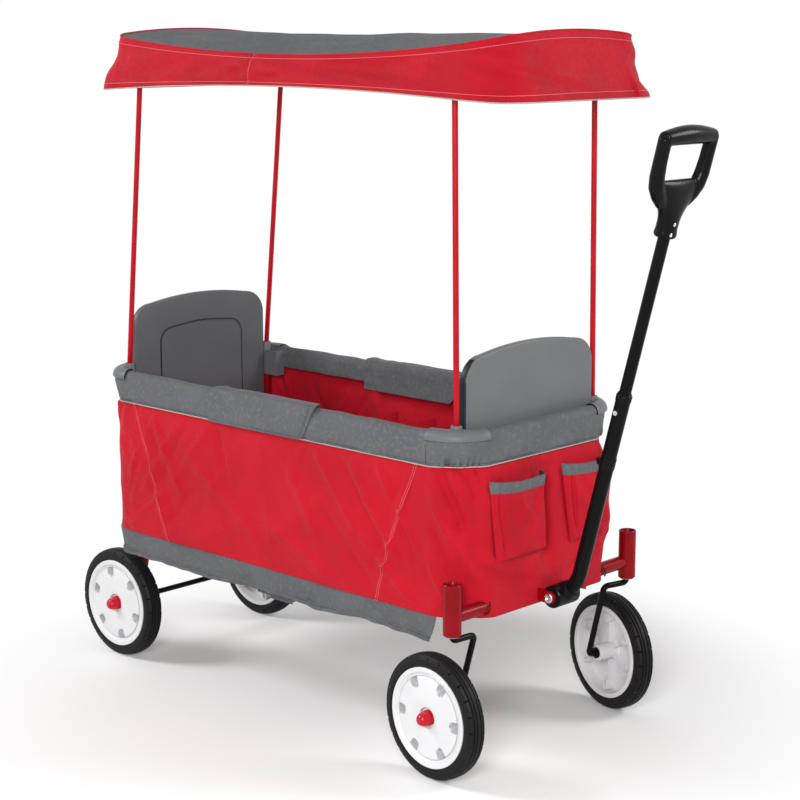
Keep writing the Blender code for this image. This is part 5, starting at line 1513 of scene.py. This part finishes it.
class WAGON_OT_floor(Step, bpy.types.Operator):
    """Padded boards of the tub's floor, with quilted channels"""
    bl_idname = "wagon.floor"
    bl_label = "Floor boards"

    CHANNELS = (0.333, 0.667)

    def build(self):
        for end, front in ENDS:
            low, high = (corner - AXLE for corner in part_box(f"{end}_floor_board"))
            long, wide = high.x - low.x, high.y - low.y
            uu, vv = np.meshgrid(*[np.linspace(0, 1, 90)] * 2)
            edge = np.minimum(np.minimum(uu, 1 - uu) * long, np.minimum(vv, 1 - vv) * wide)
            crown = np.sqrt(np.clip(edge / 0.006, 0, 1))
            channel = np.minimum(*[np.abs(vv - share) for share in self.CHANNELS]) * wide
            groove = 1 - np.exp(-(channel / 0.0035) ** 2)
            x, y = low.x + long * uu, low.y + wide * vv
            top = low.z + 0.0022 + 0.0026 * crown * (0.35 + 0.65 * groove)
            top = top + 0.0002 * soft_noise(x * 20, y * 20, 5.0)
            shape = Shape()
            faces = [xyz(x, y, level) for level in (top, low.z)]
            for face in faces:
                shape.grid(face)
            for line in ((0, slice(None)), (-1, slice(None)), (slice(None), 0), (slice(None), -1)):
                shape.grid([face[line] for face in faces])
            piece = shape.make(f"{end}_floor_pad", f"floor_{end}", "band_cloth", "grey_fabric",
                               [f"{end}_floor_board"], 50)
            lines = []
            for share in self.CHANNELS:
                for shift in (-0.0045, 0.0045):
                    run = np.linspace(low.x + 0.01, high.x - 0.01, 60)
                    lines.append(xyz(run, low.y + wide * share + shift, low.z + 0.0046))
            stitches(f"{end}_floor_stitches", lines, f"floor_{end}", pitch=0.006)


def roof_share(x):
    return np.minimum(np.abs(x - CANOPY_MID) / CANOPY_HALF_L, 1.0) ** 2


def roof_height(x, y):
    """Height of the roof's outer face over a point."""
    share = roof_share(x)
    border = BORDER[1] + (BORDER[0] - BORDER[1]) * share
    crown = CROWN[1] + (CROWN[0] - CROWN[1]) * share
    return crown + (border - crown) * np.minimum(np.abs(y) / (CANOPY_HALF_W - CANOPY_FLARE), 1.0) ** 2


class WAGON_OT_canopy(Step, bpy.types.Operator):
    """One curved sheet: a grey roof and its red hanging border, with piping and seams"""
    bl_idname = "wagon.canopy"
    bl_label = "Canopy"

    LONG, SHORT, TURN = 150, 64, 14
    OVERHANG = 0.018
    JOIN_X = 0.389

    def corner(self, front, inset):
        """The outline's corner radius, which ends as nothing where the outline closes."""
        return min(max(CANOPY_CORNER[front] - inset * 0.6, 0.012), CANOPY_HALF_W - inset)

    def ring(self, inset):
        """The canopy's outline, drawn in from the hem's. The cloth overhangs its frame at both ends."""
        half_l = CANOPY_HALF_L + self.OVERHANG - inset
        half_w = CANOPY_HALF_W - inset
        middle = CANOPY_MID - 0.004
        points = []
        for sx, sy, base in ((1, 1, 0), (-1, 1, 1), (-1, -1, 2), (1, -1, 3)):
            radius = self.corner(sx > 0, inset)
            heart = (middle + sx * (half_l - radius), sy * (half_w - radius))
            turn = arc(radius, pi / 2 * base, pi / 2 * (base + 1), self.TURN)
            points += [(heart[0] + x, heart[1] + y) for x, y in turn]
            start = points[-1]
            long = base in (0, 2)
            beyond = self.corner(long == (sx < 0), inset)
            finish = (middle - sx * (half_l - beyond), start[1]) if long else (start[0], -start[1])
            for t in np.linspace(0, 1, (self.LONG if long else self.SHORT) + 1)[1:-1]:
                points.append((start[0] + (finish[0] - start[0]) * t, start[1] + (finish[1] - start[1]) * t))
        return np.array(points)

    def build(self):
        base = self.ring(0.0)
        steps = np.linalg.norm(np.diff(np.concatenate([base, base[:1]]), axis=0), axis=1)
        run = np.cumsum(steps)
        ends = np.abs(base[:, 0] - CANOPY_MID) / CANOPY_HALF_L
        base = base + (base - self.ring(0.01)) * soft((ends - 0.9) / 0.14)[:, None] * 0.8
        hem_z = HEM[1] + (HEM[0] - HEM[1]) * roof_share(base[:, 0])
        edge = self.ring(CANOPY_FLARE)
        edge_z = roof_height(edge[:, 0], edge[:, 1])
        outward = edge - np.stack([np.clip(edge[:, 0], CANOPY_X[0] + 0.05, CANOPY_X[1] - 0.05),
                                   np.clip(edge[:, 1], -0.13, 0.13)], axis=1)
        outward /= np.linalg.norm(outward, axis=1, keepdims=True)
        rows = []
        for up in np.linspace(0, 1, 20):
            flat = base + (edge - base) * (up ** 0.85)
            z = hem_z + (edge_z - hem_z) * up
            free = soft((1 - up) / 0.25 + 0.05) * soft(up / 0.12 + 0.25)
            bulge = 0.006 * soft_noise(run * 4.5 + up, up * 1.2, 101.0)
            bulge += 0.003 * soft_noise(run * 13.0 - up * 2.0, up * 1.6, 105.0)
            bulge += 0.0046 * (np.abs(soft_noise(run * 8.0 + up * 3.0, up, 109.0)) - 0.3)
            bulge = bulge * free + self.seam_pull(base, run, up)
            flat = flat + outward * bulge[:, None]
            rows.append(xyz(flat[:, 0], flat[:, 1], z))
        red = len(rows)
        rows.append(rows[-1] + np.array((0, 0, 0.0012)))
        for inset in (*np.linspace(CANOPY_FLARE + 0.0018, 0.06, 12), *np.linspace(0.066, CANOPY_HALF_W, 26)):
            x, y = self.ring(inset).T
            inner = soft((inset - CANOPY_FLARE) / 0.03)
            z = roof_height(x, y)
            z = z + 0.0022 * inner * soft_noise(x * 5.0 + y * 4.0, y * 6.0 - x * 2.0, 121.0)
            z = z + 0.0009 * inner * soft_noise(x * 16.0 + y * 12.0, y * 14.0, 125.0) - 0.0008 * inner
            rows.append(xyz(x, y, z))
        shape = Shape()
        shape.sheet(rows, sizes().cloth, closed=True, shut=True)
        skin, border = (len(base) * (count - 1) for count in (len(rows), red))
        for first in (0, skin):
            shape.looks[first + border:first + skin] = [1] * (skin - border)
        # The border takes a darker copy of the tub cloth: painted shade.
        piece = shape.make("canopy_sheet", "canopy", ["border_cloth", "roof_cloth"], "red_fabric",
                           ["canopy_cloth"], 60,
                           self.gather)
        seam = Shape()
        seam.tube([*rows[red], rows[red][0]], 0.0012, 8)
        seam.make("canopy_edge_piping", "canopy", "tub_cloth", "red_fabric", (), 60, self.gather)
        hem = Shape()
        low = rows[0] - np.array((0, 0, 0.0004))
        hem.tube([*low, low[0]], 0.0011, 8)
        hem.make("canopy_hem_piping", "canopy", "pale_piping", "grey_fabric", (), 60, self.gather)
        proud = xyz(outward[:, 0], outward[:, 1], 0.0)
        lines = [rows[level] + proud * 0.0005 for level in (2, 17)]
        for k in self.seam_columns(base):
            lines.append([row[k] + proud[k] * 0.0006 for row in rows[:red]])
        stitches("canopy_stitches", lines, "canopy", "rose_edge", fold=self.gather)

    def gather(self, piece):
        """Gives the canopy piece its own copy of its mesh; the poles' tops and the frame's travel are worked
        out but not used.
        """
        rear, front = (mirrored(POST[0], end) + POLE_LEAN[end] * POLE_RISE for end in (False, True))
        travel = (1 - FOLDED_SHARE) * (HINGE_X - HINGE_BACK)
        (front - travel - rear) / (front - rear)
        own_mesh(piece)

    def seam_columns(self, base):
        """Columns of the joins in the border, one on each long side."""
        return [int(np.argmin(np.abs(base[:, 0] - self.JOIN_X) + np.abs(base[:, 1] - side * CANOPY_HALF_W)))
                for side in (1, -1)]

    def seam_pull(self, base, run, up):
        total = np.zeros(len(base))
        for k in self.seam_columns(base):
            near = run - run[k]
            total -= 0.003 * np.exp(-(near / 0.004) ** 2)
            for pitch, reach, depth in ((0.016, 0.05, 0.0022), (0.029, 0.09, 0.0016)):
                ripple = depth * np.sin(near / pitch * 2 + up * 5.0) * np.exp(-(near / reach) ** 2)
                total += ripple * sin(pi * min(up + 0.1, 1))
        return total


class WAGON_OT_poles(Step, bpy.types.Operator):
    """Thin enamelled poles of the canopy"""
    bl_idname = "wagon.poles"
    bl_label = "Canopy poles"

    FOOT_Z = 0.542
    GAP = 0.0043

    def build(self):
        for end, front in ENDS:
            shape = Shape()
            for name, side in SIDES:
                lean = POLE_LEAN[front]
                foot = Vector((mirrored(POST[0], front), side * POST[1], self.FOOT_Z))
                rise = float(roof_height(foot.x + lean * 0.57, POST[1])) - self.FOOT_Z - self.GAP
                top = foot + Vector((lean * rise, 0, rise))
                ahead = (top - foot).normalized()
                path = [foot, foot + ahead * 0.001] + [foot.lerp(top, k / 8) for k in range(1, 8)]
                path += [top - ahead * 0.0012, top]
                shape.tube(path, [0.004] + [0.0046] * (len(path) - 2) + [0.004], 24)
            nodes = [f"{end}_{name}_canopy_pole" for name, _ in SIDES]
            # The poles take the brightened enamel: painted light.
            shape.make("front_pole_pair" if front else "rear_poles", "front_poles" if front else "canopy",
                       "pole_enamel", "red_paint", nodes)


def handle_point(z):
    return Vector((HANDLE_FOOT[0] + (z - HANDLE_FOOT[1]) * HANDLE_SLOPE, 0, z))


class WAGON_OT_handle(Step, bpy.types.Operator):
    """The pull handle: knuckle, tubes, collar, clip, pivot bolt and D shaped grip"""
    bl_idname = "wagon.handle"
    bl_label = "Handle"

    GRIP_Z = 0.849

    def build(self):
        pin = Vector((PIVOT[0], 0, PIVOT[1]))
        elbow = handle_point(0.286)
        out = (elbow - pin).normalized()
        top = handle_point(0.592)
        self.knuckle(pin, out)
        shape = Shape()
        shape.tube(rounded([pin + out * 0.012, elbow, top], 0.062, 16), 0.0116, 32)
        shape.make("handle_outer_tube", "handle", "black_enamel", "black_paint", ["handle_lower_tube"])
        base = top + ALONG * 0.0003
        tilt = Matrix.Rotation(HANDLE_ANGLE, 4, "Y") @ Matrix.Rotation(pi / 2, 4, "X")
        shape = Shape()
        profile = mm((9.6, -3), (12.1, -3), (12.4, -2), (12.4, 6.2), (11.9, 7.2), (11.2, 7.6), (11, 9.6),
                     (10.4, 10.2), (9.6, 10.2), (9.6, -3))
        shape.lathe(profile, Matrix.Translation(base) @ tilt, 40)
        shape.make("handle_collar_moulded", "handle", "black_moulding", "black_plastic", ["handle_collar"])
        clip = handle_point(0.49)
        shape = Shape()
        profile = mm((11.2, -10), (12.2, -9.5), (12.6, -7.5), (12.6, 7.5), (12.2, 9.5), (11.2, 10),
                     (11.2, -10))
        shape.lathe(profile, Matrix.Translation(clip) @ tilt, 40)
        hook = mm((-12, -5), (-16.5, -4.5), (-18.5, -2), (-19, 6), (-17.6, 7), (-16, 3), (-12, 4))
        shape.capped([[tuple(clip + Vector((x, y, z))) for x, z in hook] for y in (-0.004, 0.004)])
        shape.make("handle_clip_moulded", "handle", "black_moulding", "black_plastic", ["handle_clip"])
        shape = Shape()
        foot = handle_point(self.GRIP_Z)
        shape.tube([top - ALONG * 0.055, foot + ALONG * 0.0397], 0.0092, 32)
        shape.make("handle_inner_tube", "handle_top", "black_enamel", "black_paint", ["handle_upper_tube"])
        self.grip(foot)
        self.bolt()

    def knuckle(self, pin, out):
        shape = Shape()
        half = mm((18, 23.2), (17.8, 24.6), (16.5, 25.7), (0, 25.7))
        profile = [(radius, -out) for radius, out in reversed(half)] + half
        shape.lathe(profile, Matrix.Translation(pin), 40)
        shape.tube([pin + out * k for k in (0.0, 0.015, 0.018, 0.0235, 0.025, 0.0255)],
                   [0.0172, 0.0168, 0.015, 0.0146, 0.0142, 0.0136], 32)
        shape.make("handle_knuckle_moulded", "handle", "black_moulding", "black_plastic", ["handle_knuckle"],
                   40)

    def grip(self, foot):
        """Outlines are in (across the wagon, along the handle) from the grip's foot."""
        shape = Shape()
        turn = [2 * pi * k / 32 for k in range(32)]
        body = mm((-6, 0, 1), (-6, 18.2, 15.2), (-3, 19.2, 16.2), (2, 19.2, 16.2), (4.5, 18.2, 15.2),
                  (20, 19, 15), (29, 23, 15), (42, 33, 14.8), (54, 43, 13.6), (64, 50, 11.6), (72, 54, 9),
                  (77.5, 54.5, 6.2), (80.5, 53.5, 3.4), (81.5, 51, 1))
        rows = [[(wide * cos(a), along, deep * sin(a)) for a in turn] for along, wide, deep in body]
        shape.grid(rows, closed=True)
        bar = mm((27, 44, 9), (40, 58, 11.2), (50, 72, 11.8), (54.5, 88, 11.4), (56, 108, 10.6),
                 (56.5, 128, 10.4), (56.5, 146, 10.6))
        for side in (1, -1):
            path = [(side * wide, along, 0) for wide, along, _ in bar]
            shape.tube(path, [radius for *_, radius in bar], 24)
        top = [(-0.06 + 0.12 * k / 16, 0.144 + 0.004 * sin(pi * k / 16), 0) for k in range(17)]
        shape.tube(top, [0.0108 + 0.0036 * sin(pi * k / 16) for k in range(17)], 24)
        mesh = bpy.data.meshes.new("handle_grip_moulded")
        mesh.from_pydata(shape.points, [], shape.faces)
        tidy(mesh, 60)
        place = Matrix.Translation(foot) @ Matrix((
            (0, ALONG.x, ACROSS.x, 0), (1, 0, 0, 0), (0, ALONG.z, ACROSS.z, 0), (0, 0, 0, 1)))
        mesh.transform(Matrix.Translation(AXLE) @ place)
        piece = linked("handle_grip_moulded", mesh)
        merge = piece.modifiers.new("merge", "REMESH")
        merge.mode = "VOXEL"
        merge.voxel_size = 0.0009
        calm = piece.modifiers.new("calm", "SMOOTH")
        calm.factor = 0.6
        calm.iterations = 34
        mesh = applied(piece)
        mesh.materials.clear()
        mesh.materials.append(finish_of("black_moulding"))
        mesh.shade_smooth()
        settle(piece, "handle_top", ["handle_grip"])
        shape = Shape()
        tilt = Matrix.Rotation(HANDLE_ANGLE, 4, "Y") @ Matrix.Rotation(-pi / 2, 4, "Z")
        tilt = Matrix.Translation(foot) @ tilt
        for across, along in ((0.0065, 0.001), (0.0035, 0.017)):
            place = tilt @ Matrix.Translation((across, 0.0146, along))
            shape.lathe(mm((0, 0), (2.8, 0), (2.8, 0.6), (2.2, 1.1), (0.9, 1.1), (0.6, 0.4), (0, 0.4)), place,
                        20)
        shape.make("grip_screws", "handle_top", "plated_steel", "bright_steel")

    def bolt(self):
        shape = Shape()
        for side in (1, -1):
            turn = Matrix.Rotation(0 if side > 0 else pi, 4, "X")
            place = Matrix.Translation((PIVOT[0], side * 0.0303, PIVOT[1])) @ turn
            profile = mm((0, 0), (7.8, 0), (7.8, 3.2), (7, 4.1), (4.6, 4.1), (4, 3.5), (3.8, 1.6), (0, 1.4))
            shape.lathe(profile, place, 36)
        shape.tube([(PIVOT[0], -0.031, PIVOT[1]), (PIVOT[0], 0.031, PIVOT[1])], 0.004, 20)
        shape.make("handle_bolt_turned", "front_end", "plated_steel", "bright_steel", ["handle_bolt"])


class WAGON_OT_stage(Step, bpy.types.Operator):
    """Pale floor, plain studio light and the camera"""
    bl_idname = "wagon.stage"
    bl_label = "Stage"

    def build(self):
        self.floor()
        self.world()
        self.lamp("key_lamp", (-2.0, -1.7, 2.1), (0.0, 0.0, 0.5), 1.1, 52.0)
        self.lamp("front_lamp", (2.1, 1.7, 1.9), (0.2, 0.0, 0.5), 1.1, 44.0)
        self.lamp("camera_side_lamp", (2.0, -2.5, 1.5), (0.0, 0.0, 0.5), 1.2, 90.0)
        self.camera()

    def shows_white(self, tree):
        """1 for what the camera sees straight, in a gloss or through a clear piece, or else 0."""
        path = tree.nodes.new("ShaderNodeLightPath")
        seen = Value(tree, path.outputs["Is Camera Ray"])
        for kind in ("Is Glossy Ray", "Is Transmission Ray"):
            seen = seen.math("MAXIMUM", path.outputs[kind])
        return seen

    def floor(self):
        mesh = bpy.data.meshes.new("studio_floor")
        reach = 14.0
        corners = [(-reach, -reach, 0), (reach, -reach, 0), (reach, reach, 0), (-reach, reach, 0)]
        mesh.from_pydata(corners, [], [(0, 1, 2, 3)])
        look = bpy.data.materials.new("studio_floor_look")
        look.use_nodes = True
        tree = look.node_tree
        tree.nodes.clear()
        out = tree.nodes.new("ShaderNodeOutputMaterial")
        matt = tree_node(tree, "ShaderNodeBsdfDiffuse", None, {"Color": (0.86, 0.86, 0.86, 1)})
        white = tree_node(tree, "ShaderNodeEmission", None, {"Color": (1, 1, 1, 1), "Strength": 1.0})
        spot = tree_node(tree, "ShaderNodeTexCoord")
        away = tree_node(tree, "ShaderNodeVectorMath", {"operation": "LENGTH"}, {0: spot.outputs["Object"]})
        far = tree_node(tree, "ShaderNodeMapRange", {"interpolation_type": "SMOOTHSTEP"},
                        {"Value": away.outputs["Value"], "From Min": 0.42, "From Max": 0.86, "To Min": 0.0})
        seen = self.shows_white(tree)
        share = Value(tree, far.outputs[0]) * seen
        mix = tree_node(tree, "ShaderNodeMixShader", None,
                        {0: share, 1: matt.outputs[0], 2: white.outputs[0]})
        tree.links.new(mix.outputs[0], out.inputs[0])
        mesh.materials.append(look)
        floor = linked("studio_floor", mesh)

    def world(self):
        world = bpy.data.worlds.new("studio")
        world.use_nodes = True
        tree = world.node_tree
        tree.nodes.clear()
        out = tree.nodes.new("ShaderNodeOutputWorld")
        soft_light = tree_node(tree, "ShaderNodeBackground", None, {"Color": (1, 1, 1, 1), "Strength": 0.36})
        white = tree_node(tree, "ShaderNodeBackground", None, {"Color": (1, 1, 1, 1), "Strength": 1.0})
        mix = tree_node(tree, "ShaderNodeMixShader", None, {0: self.shows_white(tree),
                                                            1: soft_light.outputs[0], 2: white.outputs[0]})
        tree.links.new(mix.outputs[0], out.inputs[0])
        bpy.context.scene.world = world

    def lamp(self, name, place, target, size, power):
        light = bpy.data.lights.new(name, "AREA")
        light.shape = "DISK"
        light.size = size
        light.energy = power
        lamp = linked(name, light)
        lamp.location = place
        lamp.rotation_euler = (Vector(target) - Vector(place)).to_track_quat("-Z", "Y").to_euler()

    def camera(self):
        """The photograph's camera, in the wagon's frame: place, heading, pitch and roll."""
        data = bpy.data.cameras.new("camera")
        data.lens = 86.497
        data.sensor_width = 36.0
        heading, pitch, roll = radians(133.825), radians(11.129), radians(-0.056)
        forward = Vector((cos(heading) * cos(pitch), sin(heading) * cos(pitch), -sin(pitch)))
        right = forward.cross(Vector((0, 0, 1))).normalized()
        up = right.cross(forward)
        turned = Matrix((right, up, -forward)).transposed() @ Matrix.Rotation(roll, 3, "Z")
        camera = linked("camera", data)
        camera.matrix_world = Matrix.Translation(Vector((2.7358, -2.2816, 1.1501)) + AXLE) @ turned.to_4x4()
        bpy.context.scene.camera = camera
        bpy.context.scene.view_settings.view_transform = "Standard"


STEPS = (WAGON_OT_stage, WAGON_OT_wheels, WAGON_OT_running_gear, WAGON_OT_end_frames,
         WAGON_OT_carried_parts, WAGON_OT_tub, WAGON_OT_bands, WAGON_OT_covers, WAGON_OT_skirts,
         WAGON_OT_pockets, WAGON_OT_corner_caps, WAGON_OT_seats, WAGON_OT_floor, WAGON_OT_canopy,
         WAGON_OT_poles, WAGON_OT_handle)


class WAGON_PT_panel(bpy.types.Panel):
    """Lists the build steps with the wagon's sizes and colours."""
    bl_idname = "WAGON_PT_panel"
    bl_label = "Folding Wagon"
    bl_space_type = "VIEW_3D"
    bl_region_type = "UI"
    bl_category = "Wagon"

    def draw(self, context):
        for group in (context.scene.wagon_sizes, context.scene.wagon_colours):
            column = self.layout.column()
            for key in group.__annotations__:
                column.prop(group, key)
        for step in STEPS:
            self.layout.operator(step.bl_idname)


CLASSES = (WagonSizes, WagonColours, *STEPS, WAGON_PT_panel)


def register():
    for item in CLASSES:
        bpy.utils.register_class(item)
    bpy.types.Scene.wagon_sizes = bpy.props.PointerProperty(type=WagonSizes)
    bpy.types.Scene.wagon_colours = bpy.props.PointerProperty(type=WagonColours)


def unregister():
    del bpy.types.Scene.wagon_colours
    del bpy.types.Scene.wagon_sizes
    for item in reversed(CLASSES):
        bpy.utils.unregister_class(item)


def main():
    register()
    for step in STEPS:
        group, name = step.bl_idname.split(".")
        getattr(getattr(bpy.ops, group), name)()


if __name__ == "__main__":
    main()
